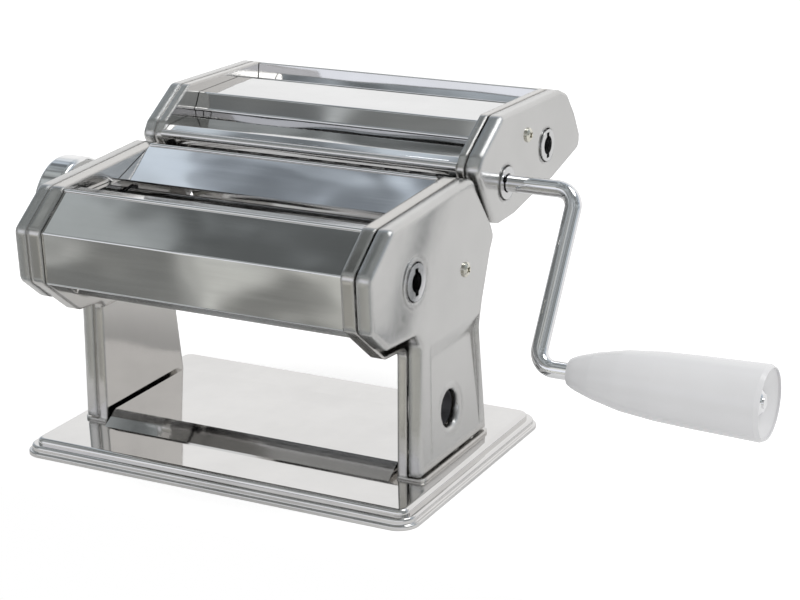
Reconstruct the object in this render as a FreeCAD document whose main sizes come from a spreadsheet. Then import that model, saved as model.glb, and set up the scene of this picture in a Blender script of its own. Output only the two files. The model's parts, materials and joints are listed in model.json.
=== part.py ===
import FreeCAD, Part
import math
import os
import Sketcher

# A hand-cranked pasta machine with a double cutter hooked on its back.
# X runs along the rollers with the crank at the plus end.
# Minus Y is the front, Z is up and the base stands on Z = 0.
# Every outline hangs on the drive roller's axis, so the machine follows it.

V = FreeCAD.Vector
doc = FreeCAD.newDocument("pasta_machine")
sheet = doc.addObject("Spreadsheet::Sheet", "sizes")

# Single sizes, in millimetres and degrees
SIZES = [
    # widths that everything along the rollers hangs on
    ("roller_length", 150.0),
    ("roller_radius", 11.6),
    ("end_play", 2.0),
    ("frame_depth", 6.2),
    ("seam", 1.2),
    ("cover_depth", 6.6),
    ("sheet_wall", 1.2),
    ("skin_wall", 1.0),
    ("gap_small", 0.3),
    ("shaft_play", 0.05),
    ("bead_radius", 0.9),
    # base
    ("base_ledge", 12.2),
    ("base_length", 141.5),
    ("base_corner", 9.6),
    ("base_rim", 2.0),
    ("base_step", 4.8),
    ("base_top", 7.6),
    ("base_rim_inset", 1.5),
    ("base_top_inset", 4.6),
    ("base_bend", 2.2),
    ("platform_rise", 5.8),
    ("platform_front", 39.5),
    ("platform_back", 40.0),
    ("platform_run", 9.5),
    # legs and frames
    ("leg_step_in", 1.8),
    ("leg_step_drop", 36.5),
    ("foot_sheet", 1.2),
    ("foot_margin", 1.0),
    ("foot_corner", 4.0),
    ("corner_bend", 5.0),
    ("face_bend", 2.2),
    ("tight_bend", 1.3),
    ("press_radius", 28.0),
    ("press_depth", 0.5),
    # recess pressed in the leg of each cover
    ("recess_top_drop", 33.5),
    ("recess_low_drop", 41.5),
    ("recess_foot", 6.4),
    ("recess_depth", 2.5),
    ("recess_front", 14.3),
    ("recess_back", 63.3),
    # roller axes and workings
    ("drive_y", -38.3),
    ("drive_z", 102.5),
    ("roller_open", 4.76),
    ("roller_closed", 0.46),
    ("adjust_tilt", 9.26),
    ("journal_radius", 5.0),
    ("socket_radius", 7.0),
    ("socket_flange_radius", 8.4),
    ("socket_flange_width", 2.4),
    ("socket_proud", 0.8),
    ("socket_bore", 4.5),
    ("socket_depth", 19.0),
    ("socket_slot_width", 3.0),
    ("socket_slot_span", 12.4),
    ("socket_slot_depth", 10.0),
    ("socket_boss_radius", 11.4),
    ("socket_boss_height", 0.4),
    ("roller_edge", 0.8),
    ("bush_radius", 9.0),
    ("bush_width", 3.0),
    ("bush_inset", 0.6),
    ("tooth_below", 2.7),
    ("tooth_above", 2.8),
    ("tooth_root", 3.0),
    ("tooth_tip", 1.0),
    ("tooth_sunk", 0.6),
    ("gear_width", 4.4),
    ("gear_gap", 1.0),
    ("gear_teeth", 12.0),
    ("block_length", 15.0),
    ("block_height", 16.0),
    ("block_flange_length", 19.0),
    ("block_flange_up", 10.0),
    ("block_flange_down", 15.0),
    ("block_flange_sheet", 1.4),
    # sheets around the rollers
    ("blade_gap", 0.65),
    ("front_blade_turn", 24.7),
    ("rear_blade_turn", 25.9),
    ("guide_start", 0.3),
    ("guide_length", 20.0),
    ("guide_top", 21.9),
    ("guide_drop", 4.8),
    ("guide_inset", 0.8),
    # adjuster knob
    ("knob_radius", 23.5),
    ("knob_outer", 24.0),
    ("knob_width", 14.0),
    ("knob_dish", 17.0),
    ("knob_dish_depth", 2.0),
    ("knob_hub", 9.0),
    ("knob_shoulder", 19.6),
    ("knob_bowl", 3.0),
    ("knob_round", 2.4),
    ("adjuster_radius", 6.0),
    ("adjuster_collar", 8.0),
    ("adjuster_collar_width", 2.0),
    ("cap_seat", 4.0),
    ("cap_bevel", 1.2),
    ("index_radius", 14.0),
    ("index_width", 3.0),
    ("index_ring", 10.5),
    ("index_dimple", 1.2),
    ("index_dimple_depth", 0.7),
    # rods and screws
    ("rod_radius", 4.0),
    ("rod_end_radius", 3.0),
    ("nut_radius", 5.0),
    ("nut_width", 3.0),
    ("rod_upper_back", 49.4),
    ("rod_upper_drop", 8.6),
    ("rod_front_ahead", 23.7),
    ("rod_front_drop", 3.5),
    ("rod_lower_back", 59.3),
    ("rod_lower_drop", 29.0),
    ("screw_radius", 2.0),
    ("screw_head_radius", 3.4),
    ("screw_head_height", 1.6),
    ("screw_head_bevel", 1.2),
    ("screw_length", 11.0),
    ("screw_slot", 1.0),
    ("screw_turn", 35.0),
    ("thread_over", 1.0),
    ("foot_screw_in", 5.1),
    ("foot_screw_spread", 20.0),
    ("foot_head_height", 2.4),
    ("foot_nut_height", 3.0),
    # clamp hole in the crank-side leg
    ("clamp_back", 35.0),
    ("clamp_up", 24.2),
    ("clamp_radius", 8.7),
    ("clamp_bush_wall", 1.2),
    ("clamp_rim", 3.0),
    ("clamp_round", 1.2),
    # cutter attachment
    ("cutter_end_play", 4.5),
    ("cutter_roll_end", 1.6),
    ("cutter_roll_radius", 7.2),
    ("cutter_root_radius", 5.9),
    ("cutter_root_gap", 0.4),
    ("wide_pitch", 13.4),
    ("narrow_pitch", 5.0),
    ("cutter_side_gap", 0.15),
    ("hook_out", 1.1),
    ("hook_above", 0.2),
    ("wide_back", 14.3),
    ("wide_up", 15.7),
    ("narrow_back", 60.5),
    ("narrow_up", 23.1),
    ("wide_slope", 0.0),
    ("narrow_slope", 5.1),
    ("cutter_journal", 3.0),
    ("cutter_neck", 6.4),
    ("cutter_bush_wall", 1.4),
    ("cutter_socket_flange", 7.7),
    ("cutter_gear_play", 0.2),
    ("cutter_tooth_root", 1.9),
    ("cutter_tooth_tip", 0.9),
    ("cutter_gear_teeth", 10.0),
    ("cutter_screw_back", 38.6),
    ("cutter_screw_up", 33.0),
    ("cutter_rod_low_back", 39.1),
    ("cutter_rod_low_up", 6.8),
    ("cutter_rod_rear_back", 92.6),
    ("cutter_rod_rear_up", 16.8),
    ("front_bar_ahead", 13.9),
    ("front_bar_up", 28.5),
    ("front_bar_radius", 2.1),
    # rails on the body and runners on the attachment
    ("hook_angle", 30.68),
    ("hook_length", 19.0),
    ("rail_length", 23.0),
    ("rail_width", 5.0),
    ("rail_near", 2.6),
    ("rail_lip", 1.2),
    ("rail_slot", 3.1),
    ("rail_wall", 1.1),
    ("rail_stop", 1.2),
    ("runner_seat", 0.4),
    ("hook_stem_in", 2.7),
    ("hook_stem", 0.8),
    ("hook_head_side", 1.0),
    # crank and grip
    ("crank_rod_radius", 4.0),
    ("crank_tip_radius", 3.6),
    ("crank_tip_gap", 1.0),
    ("crank_start", 0.6),
    ("crank_pin_radius", 1.2),
    ("crank_pin_span", 11.4),
    ("crank_reach", 35.4),
    ("crank_length", 83.5),
    ("crank_bend", 9.0),
    ("crank_angle", 33.2),
    ("rivet_step", 3.0),
    ("rivet_length", 6.0),
    ("grip_gap", 16.9),
    ("grip_length", 91.7),
    ("grip_small", 6.2),
    ("grip_large", 17.0),
    ("grip_swell", 20.0),
    ("grip_dish", 5.0),
    ("grip_rim", 1.6),
    ("grip_edge", 2.0),
    ("grip_rivet", 2.5),
    ("cap_height", 2.4),
    ("cap_width", 1.6),
]

# Corner points of the outlines, each as (datum, Y, Z) seen from the crank side
OUTLINES = {
    "shell_top": [
        ("drive", 58.8, 31.7), ("drive", -20.1, 28.1), ("drive", -40.7, 12.6),
        ("drive", -39.6, -11.9),
    ],
    "frame_chin": [
        ("drive", -14.8, -31.9), ("drive", 5.7, -33.5), ("foot", 3.9, 0.0), ("foot", 71.5, 0.0),
    ],
    "cover_chin": [
        ("drive", -25.7, -23.5), ("drive", 1.8, -25.5), ("drive", 5.7, -31.5),
        ("foot", 3.9, 1.8), ("foot", 71.3, 1.8),
    ],
    "shell_back": [
        ("drive", 64.9, -40.3), ("drive", 68.2, -28.8), ("drive", 77.0, -7.2),
        ("drive", 80.9, -1.0), ("drive", 78.1, 5.0), ("drive", 62.3, 25.2),
    ],
    "cutter": [
        ("hook", 78.4, 46.3), ("hook", 10.8, 47.8), ("hook", -11.8, 33.8), ("hook", -16.2, 27.3),
        ("hook", 0.0, 0.0), ("hook", 7.7, -2.5), ("hook", 24.5, -2.1), ("hook", 44.1, 1.2),
        ("hook", 68.5, 4.3), ("hook", 101.9, 12.6), ("hook", 102.6, 19.6), ("hook", 95.9, 31.6),
        ("hook", 86.6, 43.0),
    ],
    "front_cover": [
        ("drive", -7.2, 25.1), ("drive", -19.5, 26.5), ("drive", -38.9, 11.8),
        ("drive", -37.9, -11.1), ("drive", -25.2, -21.3),
    ],
    "feed_plate": [
        ("drive", 22.7, 21.8), ("drive", 50.2, 31.8), ("drive", 52.4, 29.6),
    ],
    "rear_cover": [
        ("drive", 55.9, 29.1), ("drive", 60.5, 24.1), ("drive", 76.1, 4.3), ("drive", 78.9, -1.1),
        ("drive", 75.1, -6.9), ("drive", 66.7, -27.5),
    ],
    "scraper_front": [
        ("front_tip", 0.0, 0.0), ("front_tip", -18.1, -8.5), ("front_tip", -20.3, -12.9),
    ],
    "scraper_rear": [
        ("rear_tip", 0.0, 0.0), ("rear_tip", 18.1, -8.4),
    ],
    "cutter_front_guide": [
        ("hook", -12.0, 30.2), ("hook", -8.4, 31.9), ("hook", 7.5, 32.6), ("wide", -4.6, 11.4),
    ],
    "cutter_middle_guide": [
        ("wide", 1.2, 14.6), ("wide", 0.8, 19.0), ("hook", 19.3, 42.5), ("hook", 56.3, 42.7),
        ("narrow", 1.2, 11.4),
    ],
    "cutter_rear_guide": [
        ("narrow", 10.4, 10.6), ("hook", 75.7, 38.2), ("hook", 76.9, 46.0), ("hook", 78.4, 46.2),
        ("hook", 86.0, 41.4), ("hook", 94.5, 30.7), ("hook", 100.9, 19.3), ("hook", 100.1, 14.3),
    ],
    "wide_comb_plate": [
        ("wide", -5.4, -10.8), ("wide", 7.4, -16.5),
    ],
    "narrow_comb_plate": [
        ("narrow", 6.2, -11.0), ("narrow", -9.4, -19.2),
    ],
}

row = 0
for alias, value in SIZES:
    row += 1
    sheet.set(f"A{row}", alias.replace("_", " "))
    sheet.set(f"B{row}", str(value))
    sheet.setAlias(f"B{row}", alias)
for outline, corners in OUTLINES.items():
    for count, (datum, across, height) in enumerate(corners, 1):
        for suffix, value in (("y", across), ("z", height)):
            row += 1
            sheet.set(f"A{row}", f"{outline} corner {count} {suffix}, from the {datum}")
            sheet.set(f"B{row}", str(value))
            sheet.setAlias(f"B{row}", f"{outline}_{count}_{suffix}")
doc.recompute()

# Points that the outlines hang on, as expressions over the sheet
DRIVE = ("sizes.drive_y", "sizes.drive_z")
FOOT = ("sizes.drive_y", "sizes.base_top")
AXLE_GAP = "(2 * sizes.roller_radius + sizes.roller_open)"
ADJUST = (f"sizes.drive_y + {AXLE_GAP} * cos(sizes.adjust_tilt)",
          f"sizes.drive_z + {AXLE_GAP} * sin(sizes.adjust_tilt)")
BLADE = "(sizes.roller_radius + sizes.blade_gap)"
FRONT_TIP = (f"sizes.drive_y + {BLADE} * sin(sizes.front_blade_turn)",
             f"sizes.drive_z - {BLADE} * cos(sizes.front_blade_turn)")
REAR_TIP = (f"{ADJUST[0]} - {BLADE} * sin(sizes.rear_blade_turn)",
            f"{ADJUST[1]} - {BLADE} * cos(sizes.rear_blade_turn)")
HOOK = ("sizes.drive_y + sizes.shell_back_5_y + sizes.hook_out",
        "sizes.drive_z + sizes.shell_back_5_z + sizes.hook_above")
WIDE = (f"{HOOK[0]} + sizes.wide_back", f"{HOOK[1]} + sizes.wide_up")
NARROW = (f"{HOOK[0]} + sizes.narrow_back", f"{HOOK[1]} + sizes.narrow_up")
PAIR = "(sizes.cutter_roll_radius + sizes.cutter_root_radius + sizes.cutter_root_gap)"
WIDE_PARTNER = (f"{WIDE[0]} - {PAIR} * cos(sizes.wide_slope)",
                f"{WIDE[1]} - {PAIR} * sin(sizes.wide_slope)")
NARROW_PARTNER = (f"{NARROW[0]} + {PAIR} * cos(sizes.narrow_slope)",
                  f"{NARROW[1]} + {PAIR} * sin(sizes.narrow_slope)")
DATUMS = {"drive": DRIVE, "foot": FOOT, "front_tip": FRONT_TIP, "rear_tip": REAR_TIP,
          "hook": HOOK, "wide": WIDE, "narrow": NARROW}


def size(text):
    """Value of an expression over the sheet."""
    return float(sheet.evalExpression(text))


def corner_list(*outlines):
    """Expression pairs for the corners of one or more outlines, in order."""
    pairs = []
    for outline in outlines:
        for count, (datum, across, height) in enumerate(OUTLINES[outline], 1):
            base_y, base_z = DATUMS[datum]
            pairs.append((f"{base_y} + sizes.{outline}_{count}_y", f"{base_z} + sizes.{outline}_{count}_z"))
    return pairs


# Planes across the machine, as expressions over the sheet
HALF = "sizes.roller_length / 2"
WEB = f"{HALF} + sizes.end_play"
FRAME_RIM = f"{WEB} + sizes.frame_depth"
COVER_RIM = f"{FRAME_RIM} + sizes.seam"
FACE = f"{COVER_RIM} + sizes.cover_depth"
LEG_WEB = f"{WEB} + sizes.leg_step_in"
CUTTER_WEB = f"{HALF} + sizes.cutter_end_play"
CUTTER_HALF = f"{HALF} - sizes.cutter_roll_end"
GEAR_START = f"{FRAME_RIM} + sizes.gear_gap"
RAIL_IN = f"{WEB} - sizes.rail_width"


def new_body(name):
    """Empty body with its own label."""
    body = doc.addObject("PartDesign::Body", name)
    body.Label = name
    return body


def place(thing, y="0", z="0", x="0", angle=None):
    """Bind a placement, turned about X when an angle is given."""
    if angle is not None:
        thing.Placement = FreeCAD.Placement(V(0, 0, 0), FreeCAD.Rotation(V(1, 0, 0), 10))
        thing.setExpression("Placement.Rotation.Angle", angle)
    thing.setExpression("Placement.Base.x", x)
    thing.setExpression("Placement.Base.y", y)
    thing.setExpression("Placement.Base.z", z)


def new_sketch(body, name, role, off="0", x="0", y="0", angle=None):
    """Sketch on one of the body's own origin planes."""
    sketch = body.newObject("Sketcher::SketchObject", name)
    base = [f for f in body.Origin.OriginFeatures if f.Role == role][0]
    sketch.AttachmentSupport = [(base, "")]
    sketch.MapMode = "FlatFace"
    if angle is not None:
        sketch.AttachmentOffset = FreeCAD.Placement(V(0, 0, 0), FreeCAD.Rotation(V(0, 0, 1), 10))
        sketch.setExpression("AttachmentOffset.Rotation.Angle", angle)
    sketch.setExpression("AttachmentOffset.Base.x", x)
    sketch.setExpression("AttachmentOffset.Base.y", y)
    sketch.setExpression("AttachmentOffset.Base.z", off)
    return sketch


def pin_point(sketch, geo, pos, across, height):
    """Hold a sketch point at two bound distances from the origin."""
    for kind, text in (("DistanceX", across), ("DistanceY", height)):
        index = sketch.addConstraint(Sketcher.Constraint(kind, -1, 1, geo, pos, size(text)))
        sketch.setExpression(f"Constraints[{index}]", text)


def polygon(sketch, points):
    """Closed outline through bound points."""
    count = len(points)
    values = [V(size(a), size(b), 0) for a, b in points]
    first = sketch.GeometryCount
    for i in range(count):
        sketch.addGeometry(Part.LineSegment(values[i], values[(i + 1) % count]), False)
    for i in range(count):
        following = first + (i + 1) % count
        sketch.addConstraint(Sketcher.Constraint("Coincident", first + i, 2, following, 1))
    for i, (across, height) in enumerate(points):
        pin_point(sketch, first + i, 1, across, height)


def rectangle(sketch, x1, y1, x2, y2):
    """Rectangle between two bound corners."""
    polygon(sketch, [(x1, y1), (x2, y1), (x2, y2), (x1, y2)])


def rounded_rectangle(sketch, half_x, half_y, radius):
    """Rectangle about the origin with bound corner arcs."""
    spots = []
    for sx, sy in ((1, 1), (-1, 1), (-1, -1), (1, -1)):
        full_x, full_y = f"{sx} * ({half_x})", f"{sy} * ({half_y})"
        near_x, near_y = f"{sx} * ({half_x} - ({radius}))", f"{sy} * ({half_y} - ({radius}))"
        pair = [(full_x, near_y), (near_x, full_y)]
        spots += pair if sx * sy > 0 else pair[::-1]
    values = [V(size(a), size(b), 0) for a, b in spots]
    bend = size(radius)
    for i in range(4):
        start, end = values[2 * i], values[2 * i + 1]
        sx, sy = ((1, 1), (-1, 1), (-1, -1), (1, -1))[i]
        centre = V(sx * (size(half_x) - bend), sy * (size(half_y) - bend), 0)
        sketch.addGeometry(Part.ArcOfCircle(Part.Circle(centre, V(0, 0, 1), bend),
                                            i * math.pi / 2, (i + 1) * math.pi / 2), False)
        sketch.addGeometry(Part.LineSegment(end, values[(2 * i + 2) % 8]), False)
    for i in range(4):
        arc, line, following = 2 * i, 2 * i + 1, (2 * i + 2) % 8
        sketch.addConstraint(Sketcher.Constraint("Coincident", arc, 2, line, 1))
        sketch.addConstraint(Sketcher.Constraint("Coincident", line, 2, following, 1))
        pin_point(sketch, line, 1, *spots[2 * i + 1])
        pin_point(sketch, line, 2, *spots[(2 * i + 2) % 8])
        index = sketch.addConstraint(Sketcher.Constraint("Radius", arc, bend))
        sketch.setExpression(f"Constraints[{index}]", radius)


def circle(sketch, radius, x="0", y="0"):
    """Circle with bound centre and radius."""
    geo = sketch.addGeometry(Part.Circle(V(size(x), size(y), 0), V(0, 0, 1), size(radius)), False)
    pin_point(sketch, geo, 3, x, y)
    index = sketch.addConstraint(Sketcher.Constraint("Radius", geo, size(radius)))
    sketch.setExpression(f"Constraints[{index}]", radius)


def strip(sketch, points, wall, side):
    """Bent sheet section: a bound path and its parallel at one wall to the given side."""
    values = [V(size(a), size(b), 0) for a, b in points]
    thick = size(wall)
    normals = []
    for a, b in zip(values, values[1:]):
        run = (b - a).normalize()
        normals.append(V(-run.y * side, run.x * side, 0))
    far = [values[0] + normals[0] * thick]
    for i in range(1, len(values) - 1):
        both = normals[i - 1] + normals[i]
        far.append(values[i] + both * (thick / (1 + normals[i - 1].dot(normals[i]))))
    far.append(values[-1] + normals[-1] * thick)
    ring = values + far[::-1]
    count = len(ring)
    for i in range(count):
        sketch.addGeometry(Part.LineSegment(ring[i], ring[(i + 1) % count]), False)
    for i in range(count):
        sketch.addConstraint(Sketcher.Constraint("Coincident", i, 2, (i + 1) % count, 1))
    for i, (across, height) in enumerate(points):
        pin_point(sketch, i, 1, across, height)
    bends = len(values) - 1
    for i in range(bends):
        other = count - 2 - i
        sketch.addConstraint(Sketcher.Constraint("Parallel", i, other))
        index = sketch.addConstraint(Sketcher.Constraint("Distance", other, 1, i, thick))
        sketch.setExpression(f"Constraints[{index}]", wall)
    sketch.addConstraint(Sketcher.Constraint("Perpendicular", bends - 1, bends))
    sketch.addConstraint(Sketcher.Constraint("Perpendicular", count - 1, 0))


def settle(body, feature):
    """Make a feature the tip and stop when it fails."""
    body.Tip = feature
    doc.recompute()
    if "Invalid" in feature.State or feature.Shape.isNull():
        raise RuntimeError(f"{body.Label}: {feature.Label} fails")
    return feature


def pad(body, sketch, length, name, both=False):
    """Bound extrusion of a sketch."""
    feature = body.newObject("PartDesign::Pad", name)
    feature.Profile = sketch
    feature.setExpression("Length", length)
    feature.Midplane = both
    return settle(body, feature)


def cut(body, sketch, name, length=None, up=False):
    """Pocket through everything, or to a bound depth along plus or minus the sketch normal."""
    before = body.Tip.Shape.Volume
    feature = body.newObject("PartDesign::Pocket", name)
    feature.Profile = sketch
    if length is None:
        feature.Type = "ThroughAll"
        feature.Midplane = True
    else:
        feature.setExpression("Length", length)
        feature.Reversed = up
    settle(body, feature)
    if feature.Shape.Volume >= before - 1e-3:
        raise RuntimeError(f"{body.Label}: {name} removes nothing")
    return feature


def pick_edges(shape, test):
    """Names of the edges that pass a test."""
    return [f"Edge{i}" for i, edge in enumerate(shape.Edges, 1) if test(edge)]


def pick_faces(shape, test):
    """Names of the faces that pass a test."""
    return [f"Face{i}" for i, face in enumerate(shape.Faces, 1) if test(face)]


def runs_along(edge, axis):
    """True for a straight edge along X, Y or Z."""
    if edge.Curve.TypeId != "Part::GeomLine":
        return False
    run = edge.tangentAt(edge.FirstParameter)
    return abs(abs(getattr(run, axis)) - 1) < 1e-6


def in_plane(thing, axis, value):
    """True when an edge or face lies in a plane across the given axis."""
    box = thing.BoundBox
    low = getattr(box, axis.upper() + "Min")
    high = getattr(box, axis.upper() + "Max")
    return abs(low - value) < 1e-4 and abs(high - value) < 1e-4


def round_edges(body, test, radius, name):
    """Bound fillet on the tip's edges that pass a test."""
    tip = body.Tip
    feature = body.newObject("PartDesign::Fillet", name)
    feature.Base = (tip, pick_edges(tip.Shape, test))
    feature.setExpression("Radius", radius)
    return settle(body, feature)


def bevel_edges(body, test, width, name):
    """Bound chamfer on the tip's edges that pass a test."""
    tip = body.Tip
    feature = body.newObject("PartDesign::Chamfer", name)
    feature.Base = (tip, pick_edges(tip.Shape, test))
    feature.setExpression("Size", width)
    return settle(body, feature)


def hollow(body, test, wall, name):
    """Shell the tip inward, open at the faces that pass a test."""
    tip = body.Tip
    feature = body.newObject("PartDesign::Thickness", name)
    feature.Base = (tip, pick_faces(tip.Shape, test))
    feature.setExpression("Value", wall)
    feature.Reversed = True
    return settle(body, feature)


def turned(name, profile, y="0", z="0", angle=None):
    """Body of revolution about X from (X, radius) points."""
    body = new_body(name)
    sketch = new_sketch(body, name + "_profile", "XZ_Plane")
    polygon(sketch, profile)
    feature = body.newObject("PartDesign::Revolution", name + "_turned")
    feature.Profile = sketch
    feature.ReferenceAxis = (sketch, ["H_Axis"])
    feature.Angle = 360
    settle(body, feature)
    place(body, y, z, angle=angle)
    doc.recompute()
    return body


def mirrored(name, source):
    """The other hand of a part, over the middle plane."""
    other = doc.addObject("Part::Mirroring", name)
    other.Label = name
    other.Source = source
    other.Normal = V(1, 0, 0)
    doc.recompute()
    return other


def gathered(name, members):
    """Several like pieces as one part."""
    group = doc.addObject("Part::Compound", name)
    group.Label = name
    group.Links = members
    doc.recompute()
    return group


parts = []


def keep(thing):
    """List a finished part for writing."""
    parts.append(thing)
    return thing


# Base plate, pressed from one sheet and open underneath
def base_block(body, tag, inset, height, bend=None):
    """Rounded block standing on Z = 0, added with a bend or cut out without one."""
    sketch = new_sketch(body, tag + "_outline", "XY_Plane")
    rounded_rectangle(sketch, f"{FACE} + sizes.base_ledge - ({inset})", f"sizes.base_length / 2 - ({inset})",
                      f"sizes.base_corner - ({inset})")
    if bend is None:
        return cut(body, sketch, tag + "_cut", height, up=True)
    pad(body, sketch, height, tag + "_pad")
    return round_edges(body, lambda e: in_plane(e, "z", size(height)), bend, tag + "_bend")


base = new_body("base_plate")
base_block(base, "base_step", "sizes.base_rim_inset", "sizes.base_step", "sizes.tight_bend")
base_block(base, "base_rim", "0", "sizes.base_rim", "sizes.tight_bend / 2")
base_block(base, "base_top", "sizes.base_top_inset", "sizes.base_top", "sizes.base_bend")
PLATFORM_HALF = f"{WEB} - sizes.gap_small"
PLATFORM_TOP = "sizes.base_top + sizes.platform_rise"
sketch = new_sketch(base, "platform_section", "YZ_Plane", off=f"-({PLATFORM_HALF})")
polygon(sketch, [
    ("-sizes.platform_front", "sizes.base_top - sizes.skin_wall"),
    ("-sizes.platform_front", "sizes.base_top"),
    ("sizes.platform_run - sizes.platform_front", PLATFORM_TOP),
    ("sizes.platform_back - sizes.platform_run", PLATFORM_TOP),
    ("sizes.platform_back", "sizes.base_top"),
    ("sizes.platform_back", "sizes.base_top - sizes.skin_wall"),
])
pad(base, sketch, f"2 * ({PLATFORM_HALF})", "platform_pad")
base_block(base, "base_hollow", "sizes.base_top_inset + sizes.sheet_wall",
           "sizes.base_top - sizes.sheet_wall")
HOLLOW_HALF = f"{WEB} - 2 * sizes.sheet_wall"
HOLLOW_LOW = "sizes.base_top - sizes.sheet_wall"
HOLLOW_HIGH = f"{PLATFORM_TOP} - sizes.sheet_wall"
sketch = new_sketch(base, "platform_hollow", "YZ_Plane", off=f"-({HOLLOW_HALF})")
polygon(sketch, [
    ("2 * sizes.sheet_wall - sizes.platform_front", "0"),
    ("2 * sizes.sheet_wall - sizes.platform_front", HOLLOW_LOW),
    ("sizes.platform_run + sizes.sheet_wall - sizes.platform_front", HOLLOW_HIGH),
    ("sizes.platform_back - sizes.platform_run - sizes.sheet_wall", HOLLOW_HIGH),
    ("sizes.platform_back - 2 * sizes.sheet_wall", HOLLOW_LOW),
    ("sizes.platform_back - 2 * sizes.sheet_wall", "0"),
])
cut(base, sketch, "platform_hollow_cut", f"2 * ({HOLLOW_HALF})", up=True)
FOOT_SCREW_X = f"({LEG_WEB} + sizes.foot_screw_in)"
FOOT_MID = "(sizes.drive_y + (sizes.frame_chin_3_y + sizes.frame_chin_4_y) / 2)"
sketch = new_sketch(base, "base_screw_holes", "XY_Plane", off="sizes.base_top")
for side_x in ("", "-"):
    for side_y in ("+", "-"):
        circle(sketch, "sizes.screw_radius + sizes.gap_small",
               f"{side_x}{FOOT_SCREW_X}", f"{FOOT_MID} {side_y} sizes.foot_screw_spread")
cut(base, sketch, "base_screw_cut")
keep(base)

# Rod positions, shared by frames, covers and rods
ROD_UPPER = ("sizes.drive_y + sizes.rod_upper_back", "sizes.drive_z - sizes.rod_upper_drop")
ROD_FRONT = ("sizes.drive_y - sizes.rod_front_ahead", "sizes.drive_z - sizes.rod_front_drop")
ROD_LOWER = ("sizes.drive_y + sizes.rod_lower_back", "sizes.drive_z - sizes.rod_lower_drop")
CLAMP = ("sizes.drive_y + sizes.clamp_back", "sizes.base_top + sizes.clamp_up")
AXIS_ANGLE = "sizes.adjust_tilt"
FRAME_FRONT = f"{DRIVE[0]} + sizes.shell_top_3_y - sizes.sheet_wall"
FRAME_REAR = f"{DRIVE[0]} + sizes.shell_back_4_y + sizes.sheet_wall"


# Inner frames: pressed pans with an outward rim, stepped in at the leg
def side_frame(name, with_clamp):
    body = new_body(name)
    sketch = new_sketch(body, name + "_outline", "YZ_Plane", off=WEB)
    polygon(sketch, corner_list("shell_top", "frame_chin", "shell_back"))
    pad(body, sketch, "sizes.frame_depth", name + "_pad")
    sketch = new_sketch(body, name + "_leg_step", "YZ_Plane", off=WEB)
    rectangle(sketch, FRAME_FRONT, "0", FRAME_REAR, f"{DRIVE[1]} - sizes.leg_step_drop")
    cut(body, sketch, name + "_leg_cut", "sizes.leg_step_in", up=True)
    low = size("sizes.base_top + sizes.skin_wall")
    round_edges(body, lambda e: runs_along(e, "x") and e.BoundBox.ZMin > low
                and e.BoundBox.XMax > size(FRAME_RIM) - 1e-3, "sizes.corner_bend", name + "_corners")
    hollow(body, lambda f: in_plane(f, "x", size(FRAME_RIM)), "sizes.sheet_wall", name + "_pan")
    sketch = new_sketch(body, name + "_foot", "XY_Plane", off="sizes.base_top")
    rectangle(sketch, LEG_WEB, f"{FOOT[0]} + sizes.frame_chin_3_y - sizes.foot_margin",
              f"{FACE} + sizes.foot_margin", f"{FOOT[0]} + sizes.frame_chin_4_y + sizes.foot_margin")
    pad(body, sketch, "sizes.foot_sheet", name + "_foot_pad")
    round_edges(body, lambda e: runs_along(e, "z") and in_plane(e, "x", size(f"{FACE} + sizes.foot_margin")),
                "sizes.foot_corner", name + "_foot_corners")
    sketch = new_sketch(body, name + "_foot_holes", "XY_Plane", off="sizes.base_top")
    for side in ("+", "-"):
        circle(sketch, "sizes.screw_radius + sizes.gap_small", FOOT_SCREW_X,
               f"{FOOT_MID} {side} sizes.foot_screw_spread")
    cut(body, sketch, name + "_foot_cut", "2 * sizes.foot_sheet", up=True)
    sketch = new_sketch(body, name + "_press", "YZ_Plane", off=WEB)
    circle(sketch, "sizes.press_radius", *DRIVE)
    cut(body, sketch, name + "_press_cut", "sizes.press_depth", up=True)
    sketch = new_sketch(body, name + "_holes", "YZ_Plane", off=WEB)
    circle(sketch, "sizes.bush_radius", *DRIVE)
    for spot in (ROD_UPPER, ROD_FRONT, ROD_LOWER):
        circle(sketch, "sizes.rod_end_radius", *spot)
    if with_clamp:
        circle(sketch, "sizes.clamp_radius", *CLAMP)
    cut(body, sketch, name + "_holes_cut", "sizes.frame_depth", up=True)
    sketch = new_sketch(body, name + "_window", "YZ_Plane", off=WEB, x=ADJUST[0], y=ADJUST[1],
                        angle=AXIS_ANGLE)
    rectangle(sketch, "sizes.roller_closed - sizes.roller_open - sizes.block_length / 2 - sizes.gap_small",
              "-(sizes.block_height / 2 + sizes.gap_small)",
              "sizes.block_length / 2 + sizes.gap_small", "sizes.block_height / 2 + sizes.gap_small")
    cut(body, sketch, name + "_window_cut", "sizes.frame_depth", up=True)
    return body


keep(side_frame("side_frame_right", True))
keep(mirrored("side_frame_left", side_frame("side_frame_blank", False)))

# Recess of the leg in section: full depth under its top edge, fading out at the foot
RECESS_TOP = f"{DRIVE[1]} - sizes.recess_top_drop"
RECESS_LOW = f"{DRIVE[1]} - sizes.recess_low_drop"
RECESS_FOOT = "sizes.base_top + sizes.recess_foot"
RECESS_FRONT = f"{DRIVE[0]} + sizes.recess_front"
RECESS_BACK = f"{DRIVE[0]} + sizes.recess_back"


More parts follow.
